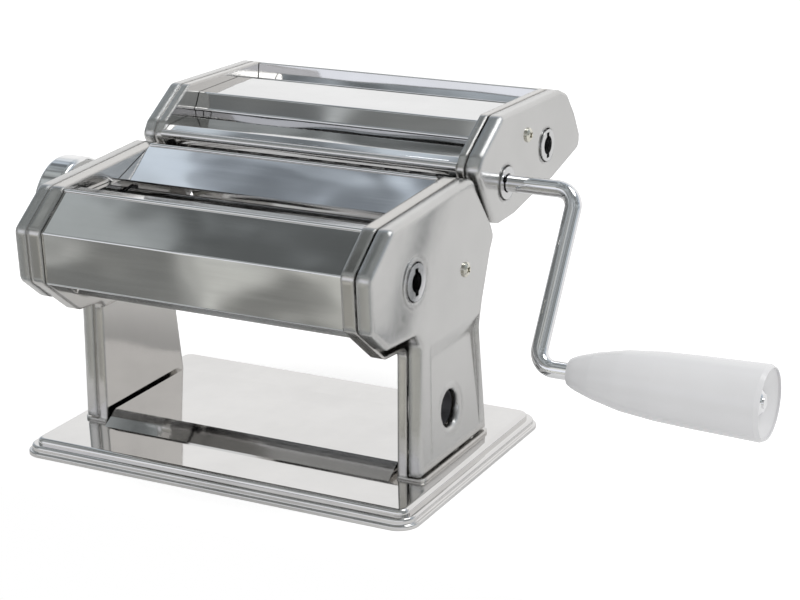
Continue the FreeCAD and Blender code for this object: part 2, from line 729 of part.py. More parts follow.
# Outer covers: deeper pans over the frames, with the recess pressed in the leg
def side_cover(name, crank_side):
    body = new_body(name)
    sketch = new_sketch(body, name + "_outline", "YZ_Plane", off=COVER_RIM)
    polygon(sketch, corner_list("shell_top", "cover_chin", "shell_back"))
    pad(body, sketch, "sizes.cover_depth", name + "_pad")
    low = size(f"{FOOT[1]} + sizes.cover_chin_4_z + sizes.skin_wall")
    round_edges(body, lambda e: runs_along(e, "x") and e.BoundBox.ZMin > low,
                "sizes.corner_bend", name + "_corners")
    face_x = size(FACE)
    round_edges(body, lambda e: in_plane(e, "x", face_x), "sizes.face_bend", name + "_face_bend")
    hollow(body, lambda f: in_plane(f, "x", size(COVER_RIM)), "sizes.skin_wall", name + "_pan")
    sketch = new_sketch(body, name + "_recess_back", "XZ_Plane",
                        off=f"-({RECESS_BACK} + sizes.skin_wall)")
    polygon(sketch, [
        (f"{FACE} - sizes.skin_wall / 2", f"{RECESS_TOP} + sizes.skin_wall"),
        (f"{FACE} - sizes.skin_wall", f"{RECESS_TOP} + sizes.skin_wall"),
        (f"{FACE} - sizes.skin_wall - sizes.recess_depth", f"{RECESS_LOW} + sizes.skin_wall / 2"),
        (f"{FACE} - sizes.skin_wall - sizes.recess_depth", f"{RECESS_LOW} - sizes.skin_wall"),
        (f"{FACE} - sizes.skin_wall", f"{RECESS_FOOT} - sizes.skin_wall"),
        (f"{FACE} - sizes.skin_wall / 2", f"{RECESS_FOOT} - sizes.skin_wall"),
    ])
    pad(body, sketch, f"{RECESS_BACK} - ({RECESS_FRONT}) + 2 * sizes.skin_wall", name + "_recess_back_pad")
    if crank_side:
        sketch = new_sketch(body, name + "_clamp_seat", "YZ_Plane",
                            off=f"{FACE} - sizes.skin_wall - sizes.recess_depth")
        circle(sketch, "sizes.clamp_radius + sizes.clamp_rim", *CLAMP)
        pad(body, sketch, "sizes.recess_depth", name + "_clamp_seat_pad")
        sketch = new_sketch(body, name + "_boss", "YZ_Plane", off=f"{FACE} - sizes.skin_wall / 2")
        circle(sketch, "sizes.socket_boss_radius", *DRIVE)
        pad(body, sketch, "sizes.skin_wall / 2 + sizes.socket_boss_height", name + "_boss_pad")
    sketch = new_sketch(body, name + "_recess", "XZ_Plane", off=f"-({RECESS_BACK})")
    polygon(sketch, [
        (FACE, RECESS_TOP), (f"{FACE} - sizes.recess_depth", RECESS_LOW), (FACE, RECESS_FOOT),
        (f"{FACE} + sizes.skin_wall", RECESS_FOOT), (f"{FACE} + sizes.skin_wall", RECESS_TOP),
    ])
    cut(body, sketch, name + "_recess_cut", f"{RECESS_BACK} - ({RECESS_FRONT})", up=True)
    sketch = new_sketch(body, name + "_leg_mouth", "XY_Plane", off=f"{FOOT[1]} + sizes.cover_chin_4_z")
    rectangle(sketch, f"{COVER_RIM} - sizes.skin_wall",
              f"{FOOT[0]} + sizes.cover_chin_4_y + 3 * sizes.skin_wall",
              f"{FACE} - 2 * sizes.skin_wall", f"{FOOT[0]} + sizes.cover_chin_5_y - 3 * sizes.skin_wall")
    cut(body, sketch, name + "_leg_mouth_cut", "2 * sizes.skin_wall", up=True)
    sketch = new_sketch(body, name + "_holes", "YZ_Plane", off=COVER_RIM)
    circle(sketch, "sizes.screw_radius + sizes.gap_small", *ROD_UPPER)
    if crank_side:
        circle(sketch, "sizes.socket_flange_radius + 2 * sizes.gap_small", *DRIVE)
        circle(sketch, "sizes.clamp_radius", *CLAMP)
    else:
        circle(sketch, "sizes.adjuster_radius + 2 * sizes.gap_small", *ADJUST)
    cut(body, sketch, name + "_holes_cut", "sizes.cover_depth + sizes.skin_wall", up=True)
    if crank_side:
        clamp_z = size(CLAMP[1])
        rim = size("sizes.clamp_radius")
        outside = size(f"{FACE} - sizes.recess_depth")

        def at_clamp_mouth(edge):
            box = edge.BoundBox
            round_hole = abs(box.ZLength - 2 * rim) < 0.05
            return round_hole and abs(box.Center.z - clamp_z) < 0.05 and box.XMin > outside

        round_edges(body, at_clamp_mouth, "sizes.clamp_round", name + "_clamp_round")
    return body


keep(side_cover("side_cover_right", True))
keep(mirrored("side_cover_left", side_cover("side_cover_blank", False)))


# Bent sheets between the frames
def bent_sheet(name, half_width, side, bend=None):
    """Sheet bent along its named outline, with the wall on the given side of the path."""
    body = new_body(name)
    sketch = new_sketch(body, name + "_section", "YZ_Plane", off=f"-({half_width})")
    corners = corner_list(name)
    strip(sketch, corners, "sizes.skin_wall", side)
    pad(body, sketch, f"2 * ({half_width})", name + "_pad")
    if bend:
        points = [(size(a), size(b)) for a, b in corners[1:-1]]

        def at_bend(edge):
            if not runs_along(edge, "x"):
                return False
            box = edge.BoundBox
            return any(math.hypot(box.YMin - a, box.ZMin - b) < 1e-4 for a, b in points)

        round_edges(body, at_bend, bend, name + "_bends")
    return body


def beaded(body, half_width, corner):
    """Bead pressed along one corner of a sheet."""
    sketch = new_sketch(body, body.Label + "_bead", "YZ_Plane", off=f"-({half_width})")
    circle(sketch, "sizes.bead_radius", *corner_list(body.Label)[corner])
    pad(body, sketch, f"2 * ({half_width})", body.Label + "_bead_pad")
    return body


SHEET_HALF = f"{WEB} - sizes.gap_small"
BLADE_HALF = f"{HALF} + sizes.gap_small"
keep(beaded(bent_sheet("front_cover", SHEET_HALF, 1, "sizes.tight_bend"), SHEET_HALF, 1))
keep(beaded(bent_sheet("feed_plate", SHEET_HALF, -1, "sizes.tight_bend"), SHEET_HALF, 1))
keep(bent_sheet("rear_cover", f"{RAIL_IN} - sizes.gap_small", -1, "sizes.tight_bend"))
keep(bent_sheet("scraper_front", SHEET_HALF, 1))
keep(bent_sheet("scraper_rear", BLADE_HALF, -1))

# Angles on the frames that keep the dough off the roller ends
throat = new_body("throat_guide_right")
GUIDE_FAR = f"{DRIVE[0]} + sizes.guide_start + sizes.guide_length"
GUIDE_Z = f"{DRIVE[1]} + sizes.guide_top"
GUIDE_X = f"{HALF} - sizes.guide_inset"
sketch = new_sketch(throat, "throat_section", "XZ_Plane", off=f"-({GUIDE_FAR})")
polygon(sketch, [
    (GUIDE_X, GUIDE_Z), (WEB, GUIDE_Z), (WEB, f"{GUIDE_Z} - sizes.skin_wall"),
    (f"{GUIDE_X} + sizes.skin_wall", f"{GUIDE_Z} - sizes.skin_wall"),
    (f"{GUIDE_X} + sizes.skin_wall", f"{GUIDE_Z} - sizes.guide_drop"),
    (GUIDE_X, f"{GUIDE_Z} - sizes.guide_drop"),
])
pad(throat, sketch, "sizes.guide_length", "throat_pad")
keep(throat)
keep(mirrored("throat_guide_left", throat))


# Tie rods with nuts outside the frames
def tie_rod(name, spot, web, reach, nut_width="sizes.nut_width"):
    nut_start = f"({web} + sizes.sheet_wall)"
    nut_end = f"({web} + sizes.sheet_wall + {nut_width})"
    profile = []
    for sign in ("-", ""):
        steps = [
            (reach, "0"), (reach, "sizes.rod_end_radius"), (nut_end, "sizes.rod_end_radius"),
            (nut_end, "sizes.nut_radius"), (nut_start, "sizes.nut_radius"),
            (nut_start, "sizes.rod_end_radius"), (f"({web})", "sizes.rod_end_radius"),
            (f"({web})", "sizes.rod_radius"),
        ]
        if sign == "":
            steps = steps[::-1]
        profile += [(f"{sign}{a}", b) for a, b in steps]
    return turned(name, profile, *spot)


def tapped(body, tag, reach):
    """Screw holes in both ends of a rod."""
    for sign, up in (("", False), ("-", True)):
        side = "plus" if up else "minus"
        sketch = new_sketch(body, f"{tag}_{side}_tap", "YZ_Plane", off=f"{sign}{reach}")
        circle(sketch, "sizes.screw_radius + sizes.shaft_play")
        cut(body, sketch, f"{tag}_{side}_tap_cut", "sizes.screw_length + sizes.thread_over", up=up)
    return body


ROD_SHORT = f"({WEB} + sizes.sheet_wall + sizes.nut_width + sizes.thread_over)"
ROD_LONG = f"({FACE} - sizes.skin_wall)"
keep(gathered("tie_rods", [
    tapped(tie_rod("rod_upper", ROD_UPPER, WEB, ROD_LONG), "rod_upper", ROD_LONG),
    tie_rod("rod_front", ROD_FRONT, WEB, ROD_SHORT),
    tie_rod("rod_lower", ROD_LOWER, WEB, ROD_SHORT),
]))


# Cross-slotted screws that hold the covers to a rod
def cover_screw(name, spot, left):
    top = f"{FACE} + sizes.screw_head_height"
    body = turned(name, [
        (f"{FACE} - sizes.screw_length", "0"), (f"{FACE} - sizes.screw_length", "sizes.screw_radius"),
        (FACE, "sizes.screw_radius"), (FACE, "sizes.screw_head_radius"),
        (f"{FACE} + sizes.screw_head_height / 2", "sizes.screw_head_radius"),
        (top, "sizes.screw_head_radius - sizes.screw_head_bevel"), (top, "0"),
    ], *spot)
    for tag, turn in (("a", "sizes.screw_turn"), ("b", "sizes.screw_turn + 90")):
        sketch = new_sketch(body, f"{name}_slot_{tag}", "YZ_Plane", off=top, angle=turn)
        rectangle(sketch, "-sizes.screw_head_radius / 2", "-sizes.screw_slot / 2",
                  "sizes.screw_head_radius / 2", "sizes.screw_slot / 2")
        cut(body, sketch, f"{name}_slot_{tag}_cut", "sizes.screw_head_height * 2 / 3")
    return mirrored(name + "_left", body) if left else body


keep(gathered("cover_screws", [
    cover_screw("cover_screw_a", ROD_UPPER, False), cover_screw("cover_screw_b", ROD_UPPER, True),
]))


# Screws up through the base with hexagon nuts on the feet
def foot_screw(name, sign_x, sign_y):
    body = new_body(name)
    low = "sizes.base_top - sizes.sheet_wall"
    sketch = new_sketch(body, name + "_head", "XY_Plane", off=f"{low} - sizes.foot_head_height")
    circle(sketch, "2 * sizes.screw_radius")
    pad(body, sketch, "sizes.foot_head_height", name + "_head_pad")
    sketch = new_sketch(body, name + "_shank", "XY_Plane", off=low)
    circle(sketch, "sizes.screw_radius")
    pad(body, sketch, "sizes.sheet_wall + sizes.foot_sheet + sizes.foot_nut_height + sizes.thread_over",
        name + "_shank_pad")
    sketch = new_sketch(body, name + "_nut", "XY_Plane", off="sizes.base_top + sizes.foot_sheet")
    polygon(sketch, [(f"2 * sizes.screw_radius * cos({60 * i + 30})",
                      f"2 * sizes.screw_radius * sin({60 * i + 30})") for i in range(6)])
    pad(body, sketch, "sizes.foot_nut_height", name + "_nut_pad")
    place(body, f"{FOOT_MID} {sign_y} sizes.foot_screw_spread", "0", f"{sign_x}{FOOT_SCREW_X}")
    doc.recompute()
    return body


keep(gathered("foot_screws", [
    foot_screw("foot_screw_a", "", "+"), foot_screw("foot_screw_b", "", "-"),
    foot_screw("foot_screw_c", "-", "+"), foot_screw("foot_screw_d", "-", "-"),
]))

# Clamp socket through the crank-side leg
CLAMP_IN = f"{LEG_WEB} + sizes.sheet_wall"
CLAMP_OUT = f"{FACE} - sizes.recess_depth - 2 * sizes.skin_wall"
CLAMP_BORE = "sizes.clamp_radius - sizes.clamp_bush_wall"
keep(turned("clamp_bush", [
    (CLAMP_IN, CLAMP_BORE), (CLAMP_IN, "sizes.clamp_radius + sizes.clamp_bush_wall"),
    (f"{CLAMP_IN} + sizes.sheet_wall", "sizes.clamp_radius + sizes.clamp_bush_wall"),
    (f"{CLAMP_IN} + sizes.sheet_wall", "sizes.clamp_radius - sizes.gap_small"),
    (CLAMP_OUT, "sizes.clamp_radius - sizes.gap_small"), (CLAMP_OUT, CLAMP_BORE),
], *CLAMP))


def eased_ends(body, tag):
    """Bevel both end edges of a roller."""
    wide = 2 * size("sizes.roller_radius") - 0.1
    return bevel_edges(body, lambda e: abs(abs(e.BoundBox.XMin) - size(HALF)) < 1e-4
                       and e.BoundBox.ZLength > wide, "sizes.roller_edge", tag)


def socket_slot(body, tag, turn):
    """Cross slot for the crank's pin in the mouth of a socket."""
    sketch = new_sketch(body, tag, "YZ_Plane", off=SOCKET_END, angle=turn)
    rectangle(sketch, "-sizes.socket_slot_span / 2", "-sizes.socket_slot_width / 2",
              "sizes.socket_slot_span / 2", "sizes.socket_slot_width / 2")
    cut(body, sketch, tag + "_cut", "sizes.socket_slot_depth")


# Drive roller with its crank socket
SOCKET_END = f"{FACE} + sizes.socket_proud"
FLANGE_START = f"{SOCKET_END} - sizes.socket_flange_width"
SOCKET_FLOOR = f"{SOCKET_END} - sizes.socket_depth"
drive = turned("drive_roller", [
    (f"-({FRAME_RIM})", "0"), (f"-({FRAME_RIM})", "sizes.journal_radius"),
    (f"-({HALF})", "sizes.journal_radius"), (f"-({HALF})", "sizes.roller_radius"),
    (HALF, "sizes.roller_radius"), (HALF, "sizes.socket_radius"),
    (FLANGE_START, "sizes.socket_radius"), (FLANGE_START, "sizes.socket_flange_radius"),
    (SOCKET_END, "sizes.socket_flange_radius"), (SOCKET_END, "sizes.socket_bore"),
    (SOCKET_FLOOR, "sizes.socket_bore"), (SOCKET_FLOOR, "0"),
], *DRIVE)
eased_ends(drive, "drive_edges")
socket_slot(drive, "drive_slot", "90")
keep(drive)


# Bushes for the drive roller in both frames
def bush(name, bore, left):
    body = turned(name, [
        (f"{WEB} - sizes.bush_inset", bore), (f"{WEB} - sizes.bush_inset", "sizes.bush_radius"),
        (f"{WEB} + sizes.bush_width", "sizes.bush_radius"), (f"{WEB} + sizes.bush_width", bore),
    ], *DRIVE)
    return mirrored(name + "_left", body) if left else body


keep(gathered("roller_bushes", [
    bush("bush_a", "sizes.socket_radius + sizes.shaft_play", False),
    bush("bush_b", "sizes.journal_radius + sizes.shaft_play", True),
]))


# Gears with long slim teeth, which stay in mesh while the rollers part
def gear(name, bore, spot, start, radii, tooth_widths, turn, teeth):
    root, tip = radii
    wide, slim = tooth_widths
    body = new_body(name)
    sketch = new_sketch(body, name + "_blank", "YZ_Plane", off=start)
    circle(sketch, root)
    circle(sketch, bore)
    pad(body, sketch, "sizes.gear_width", name + "_disc")
    sketch = new_sketch(body, name + "_tooth", "YZ_Plane", off=start, angle=turn)
    polygon(sketch, [
        (f"{root} - sizes.tooth_sunk", f"-{wide} / 2"), (root, f"-{wide} / 2"), (tip, f"-{slim} / 2"),
        (tip, f"{slim} / 2"), (root, f"{wide} / 2"), (f"{root} - sizes.tooth_sunk", f"{wide} / 2"),
    ])
    tooth = pad(body, sketch, "sizes.gear_width", name + "_tooth_pad")
    pattern = body.newObject("PartDesign::PolarPattern", name + "_teeth")
    pattern.Originals = [tooth]
    pattern.Axis = ([f for f in body.Origin.OriginFeatures if f.Role == "X_Axis"][0], [""])
    pattern.Angle = 360
    pattern.setExpression("Occurrences", teeth)
    settle(body, pattern)
    place(body, *spot)
    doc.recompute()
    return body


GEAR_RADII = ("sizes.roller_radius - sizes.tooth_below", "sizes.roller_radius + sizes.tooth_above")
GEAR_TEETH = ("sizes.tooth_root", "sizes.tooth_tip")
keep(gear("drive_gear", "sizes.socket_radius", DRIVE, GEAR_START, GEAR_RADII, GEAR_TEETH,
          AXIS_ANGLE, "sizes.gear_teeth"))
keep(gear("adjust_gear", "sizes.journal_radius", ADJUST, GEAR_START, GEAR_RADII, GEAR_TEETH,
          f"{AXIS_ANGLE} + 180 * (1 - 1 / sizes.gear_teeth)", "sizes.gear_teeth"))

# Adjustable roller
adjust = turned("adjust_roller", [
    (f"-({FRAME_RIM} - sizes.gap_small)", "0"),
    (f"-({FRAME_RIM} - sizes.gap_small)", "sizes.journal_radius"),
    (f"-({HALF})", "sizes.journal_radius"), (f"-({HALF})", "sizes.roller_radius"),
    (HALF, "sizes.roller_radius"), (HALF, "sizes.journal_radius"),
    (f"{GEAR_START} + sizes.gear_width", "sizes.journal_radius"),
    (f"{GEAR_START} + sizes.gear_width", "0"),
], *ADJUST)
eased_ends(adjust, "adjust_edges")
keep(adjust)


# Bearing blocks that slide in the frame windows
def bearing_block(name):
    body = new_body(name)
    sketch = new_sketch(body, name + "_flange", "YZ_Plane", off=BLADE_HALF)
    rectangle(sketch, "-sizes.block_flange_length / 2", "-sizes.block_flange_down",
              "sizes.block_flange_length / 2", "sizes.block_flange_up")
    pad(body, sketch, "sizes.block_flange_sheet", name + "_flange_pad")
    sketch = new_sketch(body, name + "_block", "YZ_Plane", off=BLADE_HALF)
    rectangle(sketch, "-sizes.block_length / 2", "-sizes.block_height / 2",
              "sizes.block_length / 2", "sizes.block_height / 2")
    pad(body, sketch, f"{FRAME_RIM} - ({HALF})", name + "_block_pad")
    sketch = new_sketch(body, name + "_bore", "YZ_Plane", off=BLADE_HALF)
    circle(sketch, "sizes.journal_radius + sizes.shaft_play")
    cut(body, sketch, name + "_bore_cut")
    place(body, *ADJUST, angle=AXIS_ANGLE)
    doc.recompute()
    return body


block_right = keep(bearing_block("bearing_block_right"))
keep(mirrored("bearing_block_left", block_right))

# Adjuster: shaft, index ring and dished knob, drawn on the right and mirrored
COLLAR_IN = f"{COVER_RIM} + 2 * sizes.gap_small"
KNOB_OUT = f"{FACE} + sizes.knob_outer"
KNOB_IN = f"{KNOB_OUT} - sizes.knob_width"
CAP_IN = f"{KNOB_OUT} - sizes.cap_seat"
shaft = turned("adjuster_shaft_right", [
    (COLLAR_IN, "0"), (COLLAR_IN, "sizes.adjuster_collar"),
    (f"{COLLAR_IN} + sizes.adjuster_collar_width", "sizes.adjuster_collar"),
    (f"{COLLAR_IN} + sizes.adjuster_collar_width", "sizes.adjuster_radius"),
    (CAP_IN, "sizes.adjuster_radius"), (CAP_IN, "0"),
], *ADJUST)
keep(mirrored("adjuster_shaft", shaft))
ring = turned("index_ring_right", [
    (FACE, "sizes.adjuster_radius + sizes.shaft_play"), (FACE, "sizes.index_radius"),
    (f"{FACE} + sizes.index_width", "sizes.index_radius - sizes.skin_wall"),
    (f"{FACE} + sizes.index_width", "sizes.adjuster_radius + sizes.shaft_play"),
], *ADJUST)
INDEX_PLACES = 9
INDEX_SWEEP = 300
INDEX_FIRST = 30
sketch = new_sketch(ring, "index_dimples", "YZ_Plane", off=f"{FACE} + sizes.index_width")
for number in range(INDEX_PLACES):
    turn = INDEX_FIRST + number * INDEX_SWEEP / (INDEX_PLACES - 1)
    circle(sketch, "sizes.index_dimple", f"sizes.index_ring * cos({turn})", f"sizes.index_ring * sin({turn})")
cut(ring, sketch, "index_dimples_cut", "sizes.index_dimple_depth")
keep(mirrored("index_ring", ring))
knob = turned("knob_right", [
    (f"{KNOB_IN} + sizes.knob_bowl", "sizes.adjuster_radius"),
    (f"{KNOB_IN} + sizes.knob_bowl", "sizes.knob_hub"),
    (f"{KNOB_IN} + sizes.knob_bowl / 2", "sizes.knob_shoulder"), (KNOB_IN, "sizes.knob_shoulder"),
    (KNOB_IN, "sizes.knob_radius"), (KNOB_OUT, "sizes.knob_radius"), (KNOB_OUT, "sizes.knob_dish"),
    (f"{KNOB_OUT} - sizes.knob_dish_depth", "sizes.knob_dish - sizes.skin_wall"),
    (f"{KNOB_OUT} - sizes.knob_dish_depth", "sizes.adjuster_radius"),
], *ADJUST)
round_edges(knob, lambda e: abs(e.BoundBox.ZLength - 2 * size("sizes.knob_radius")) < 1e-3
            and e.BoundBox.XLength < 1e-3, "sizes.knob_round", "knob_rims")
keep(mirrored("knob", knob))
CAP_OUT = f"{KNOB_OUT} - sizes.gap_small"
cap = turned("knob_cap_right", [
    (CAP_IN, "0"), (CAP_IN, "sizes.adjuster_radius"),
    (f"{CAP_OUT} - sizes.cap_bevel", "sizes.adjuster_radius"),
    (CAP_OUT, "sizes.adjuster_radius - sizes.cap_bevel"), (CAP_OUT, "0"),
], *ADJUST)
keep(mirrored("knob_cap", cap))

# Rod positions in the cutter attachment
CUTTER_SCREW = (f"{HOOK[0]} + sizes.cutter_screw_back", f"{HOOK[1]} + sizes.cutter_screw_up")
CUTTER_ROD_LOW = (f"{HOOK[0]} + sizes.cutter_rod_low_back", f"{HOOK[1]} + sizes.cutter_rod_low_up")
CUTTER_ROD_REAR = (f"{HOOK[0]} + sizes.cutter_rod_rear_back", f"{HOOK[1]} + sizes.cutter_rod_rear_up")


# Cutter attachment frames and covers
def cutter_frame(name):
    body = new_body(name)
    depth = f"{FRAME_RIM} - ({CUTTER_WEB})"
    sketch = new_sketch(body, name + "_outline", "YZ_Plane", off=CUTTER_WEB)
    polygon(sketch, corner_list("cutter"))
    pad(body, sketch, depth, name + "_pad")
    round_edges(body, lambda e: runs_along(e, "x"), "sizes.corner_bend - sizes.skin_wall",
                name + "_corners")
    hollow(body, lambda f: in_plane(f, "x", size(FRAME_RIM)), "sizes.sheet_wall", name + "_pan")
    sketch = new_sketch(body, name + "_holes", "YZ_Plane", off=CUTTER_WEB)
    for spot in (WIDE, NARROW):
        circle(sketch, "sizes.cutter_neck + sizes.cutter_bush_wall", *spot)
    for spot in (WIDE_PARTNER, NARROW_PARTNER):
        circle(sketch, "sizes.cutter_journal + sizes.cutter_bush_wall", *spot)
    for spot in (CUTTER_SCREW, CUTTER_ROD_LOW, CUTTER_ROD_REAR):
        circle(sketch, "sizes.rod_end_radius", *spot)
    cut(body, sketch, name + "_holes_cut", depth, up=True)
    return body


cutter_frame_right = keep(cutter_frame("cutter_frame_right"))
keep(mirrored("cutter_frame_left", cutter_frame_right))


def cutter_cover(name, crank_side):
    body = new_body(name)
    sketch = new_sketch(body, name + "_outline", "YZ_Plane", off=COVER_RIM)
    polygon(sketch, corner_list("cutter"))
    pad(body, sketch, "sizes.cover_depth", name + "_pad")
    round_edges(body, lambda e: runs_along(e, "x"), "sizes.corner_bend", name + "_corners")
    round_edges(body, lambda e: in_plane(e, "x", size(FACE)), "sizes.face_bend", name + "_face_bend")
    hollow(body, lambda f: in_plane(f, "x", size(COVER_RIM)), "sizes.skin_wall", name + "_pan")
    sketch = new_sketch(body, name + "_holes", "YZ_Plane", off=COVER_RIM)
    circle(sketch, "sizes.screw_radius + sizes.gap_small", *CUTTER_SCREW)
    if crank_side:
        for spot in (WIDE, NARROW):
            circle(sketch, "sizes.cutter_socket_flange + 2 * sizes.gap_small", *spot)
    cut(body, sketch, name + "_holes_cut", "sizes.cover_depth + sizes.skin_wall", up=True)
    return body


keep(cutter_cover("cutter_cover_right", True))
keep(mirrored("cutter_cover_left", cutter_cover("cutter_cover_blank", False)))

# Bent guides over the cutters, the middle one beaded at the lip of its slot
GUIDE_HALF = f"{CUTTER_WEB} - sizes.gap_small"
keep(bent_sheet("cutter_front_guide", GUIDE_HALF, -1, "sizes.tight_bend"))
keep(beaded(bent_sheet("cutter_middle_guide", GUIDE_HALF, -1, "sizes.tight_bend"), GUIDE_HALF, 1))
keep(bent_sheet("cutter_rear_guide", GUIDE_HALF, -1, "sizes.tight_bend / 2"))
keep(bent_sheet("wide_comb_plate", GUIDE_HALF, 1))
keep(bent_sheet("narrow_comb_plate", GUIDE_HALF, 1))

CUTTER_ROD_SHORT = f"({FRAME_RIM} + sizes.gap_small)"
CUTTER_NUT = "(sizes.nut_width - 2 * sizes.gap_small)"
front_bar = turned("cutter_front_bar", [
    (f"-({CUTTER_WEB})", "0"), (f"-({CUTTER_WEB})", "sizes.front_bar_radius"),
    (CUTTER_WEB, "sizes.front_bar_radius"), (CUTTER_WEB, "0"),
], f"{HOOK[0]} - sizes.front_bar_ahead", f"{HOOK[1]} + sizes.front_bar_up")
upper = tie_rod("cutter_rod_upper", CUTTER_SCREW, CUTTER_WEB, ROD_LONG, CUTTER_NUT)
keep(gathered("cutter_tie_rods", [
    tapped(upper, "cutter_rod_upper", ROD_LONG), front_bar,
    tie_rod("cutter_rod_low", CUTTER_ROD_LOW, CUTTER_WEB, CUTTER_ROD_SHORT, CUTTER_NUT),
    tie_rod("cutter_rod_rear", CUTTER_ROD_REAR, CUTTER_WEB, CUTTER_ROD_SHORT, CUTTER_NUT),
]))
keep(gathered("cutter_screws", [
    cover_screw("cutter_screw_a", CUTTER_SCREW, False), cover_screw("cutter_screw_b", CUTTER_SCREW, True),
]))


# Cutter rolls: the discs of one roll run in the grooves of the other
def cutter_roll(name, spot, pitch, driven, slot_turn="90"):
    gear_end = f"-({GEAR_START} + sizes.gear_width)"
    places = f"floor(2 * ({CUTTER_HALF} - sizes.skin_wall) / {pitch})"
    spare = 1 if driven else 2
    body_end = CUTTER_HALF
    profile = [
        (gear_end, "0"), (gear_end, "sizes.cutter_journal"), (f"-({CUTTER_HALF})", "sizes.cutter_journal"),
    ]
    if not driven:
        body_end = f"({places} / 2 * {pitch} - {pitch} / 4 - sizes.cutter_side_gap / 2)"
        profile += [(f"-({CUTTER_HALF})", "sizes.cutter_root_radius"),
                    (f"-({body_end})", "sizes.cutter_root_radius")]
    profile += [(f"-({body_end})", "sizes.cutter_roll_radius"), (body_end, "sizes.cutter_roll_radius")]
    if driven:
        profile += [
            (CUTTER_HALF, "sizes.cutter_neck"), (FLANGE_START, "sizes.cutter_neck"),
            (FLANGE_START, "sizes.cutter_socket_flange"), (SOCKET_END, "sizes.cutter_socket_flange"),
            (SOCKET_END, "sizes.socket_bore"), (SOCKET_FLOOR, "sizes.socket_bore"), (SOCKET_FLOOR, "0"),
        ]
    else:
        profile += [
            (body_end, "sizes.cutter_root_radius"), (CUTTER_HALF, "sizes.cutter_root_radius"),
            (CUTTER_HALF, "sizes.cutter_journal"), (FRAME_RIM, "sizes.cutter_journal"), (FRAME_RIM, "0"),
        ]
    body = turned(name, profile, *spot)
    groove = f"({pitch} / 2 + sizes.cutter_side_gap)"
    first = f"-({places} - {spare}) / 2 * {pitch}"
    sketch = new_sketch(body, name + "_groove", "XZ_Plane")
    rectangle(sketch, f"{first} - {groove} / 2", "sizes.cutter_root_radius",
              f"{first} + {groove} / 2", "sizes.cutter_roll_radius + sizes.skin_wall")
    groove_cut = body.newObject("PartDesign::Groove", name + "_groove_cut")
    groove_cut.Profile = sketch
    groove_cut.ReferenceAxis = (sketch, ["H_Axis"])
    groove_cut.Angle = 360
    settle(body, groove_cut)
    pattern = body.newObject("PartDesign::LinearPattern", name + "_grooves")
    pattern.Originals = [groove_cut]
    pattern.Direction = (sketch, ["H_Axis"])
    pattern.setExpression("Length", f"({places} - {spare}) * {pitch}")
    pattern.setExpression("Occurrences", f"{places} - {spare - 1}")
    settle(body, pattern)
    if driven:
        socket_slot(body, name + "_slot", slot_turn)
    return body


keep(cutter_roll("wide_roll_driven", WIDE, "sizes.wide_pitch", True, "-sizes.crank_angle"))
keep(cutter_roll("wide_roll_partner", WIDE_PARTNER, "sizes.wide_pitch", False))
keep(cutter_roll("narrow_roll_driven", NARROW, "sizes.narrow_pitch", True))
keep(cutter_roll("narrow_roll_partner", NARROW_PARTNER, "sizes.narrow_pitch", False))

# Gears of the cutter rolls at the left end, half a tooth apart in each pair
CUTTER_RADII = ("sizes.cutter_root_radius - sizes.cutter_gear_play",
                "sizes.cutter_roll_radius + sizes.cutter_gear_play")
CUTTER_TEETH = ("sizes.cutter_tooth_root", "sizes.cutter_tooth_tip")
HALF_TOOTH = "180 / sizes.cutter_gear_teeth"
for name, spot, turn in (
        ("wide_gear_driven", WIDE, "180 + sizes.wide_slope"),
        ("wide_gear_partner", WIDE_PARTNER, f"sizes.wide_slope + {HALF_TOOTH}"),
        ("narrow_gear_driven", NARROW, "sizes.narrow_slope"),
        ("narrow_gear_partner", NARROW_PARTNER, f"180 + sizes.narrow_slope + {HALF_TOOTH}")):
    keep(gear(name, "sizes.cutter_journal", spot, f"-({GEAR_START} + sizes.gear_width)",
              CUTTER_RADII, CUTTER_TEETH, turn, "sizes.cutter_gear_teeth"))


# Bushes of the cutter rolls
def cutter_bush(name, bore, outside, spot, left):
    near = f"{CUTTER_WEB} - sizes.bush_inset"
    far = f"{FRAME_RIM} - sizes.bush_inset"
    inner = f"{bore} + sizes.shaft_play"
    outer = f"{outside} + sizes.cutter_bush_wall"
    body = turned(name, [(near, inner), (near, outer), (far, outer), (far, inner)], *spot)
    return mirrored(name + "_left", body) if left else body


JOURNAL, NECK = "sizes.cutter_journal", "sizes.cutter_neck"
keep(gathered("cutter_bushes", [
    cutter_bush("cutter_bush_a", NECK, NECK, WIDE, False),
    cutter_bush("cutter_bush_b", NECK, NECK, NARROW, False),
    cutter_bush("cutter_bush_c", JOURNAL, JOURNAL, WIDE_PARTNER, False),
    cutter_bush("cutter_bush_d", JOURNAL, JOURNAL, NARROW_PARTNER, False),
    cutter_bush("cutter_bush_e", JOURNAL, NECK, WIDE, True),
    cutter_bush("cutter_bush_f", JOURNAL, NECK, NARROW, True),
    cutter_bush("cutter_bush_g", JOURNAL, JOURNAL, WIDE_PARTNER, True),
    cutter_bush("cutter_bush_h", JOURNAL, JOURNAL, NARROW_PARTNER, True),
]))

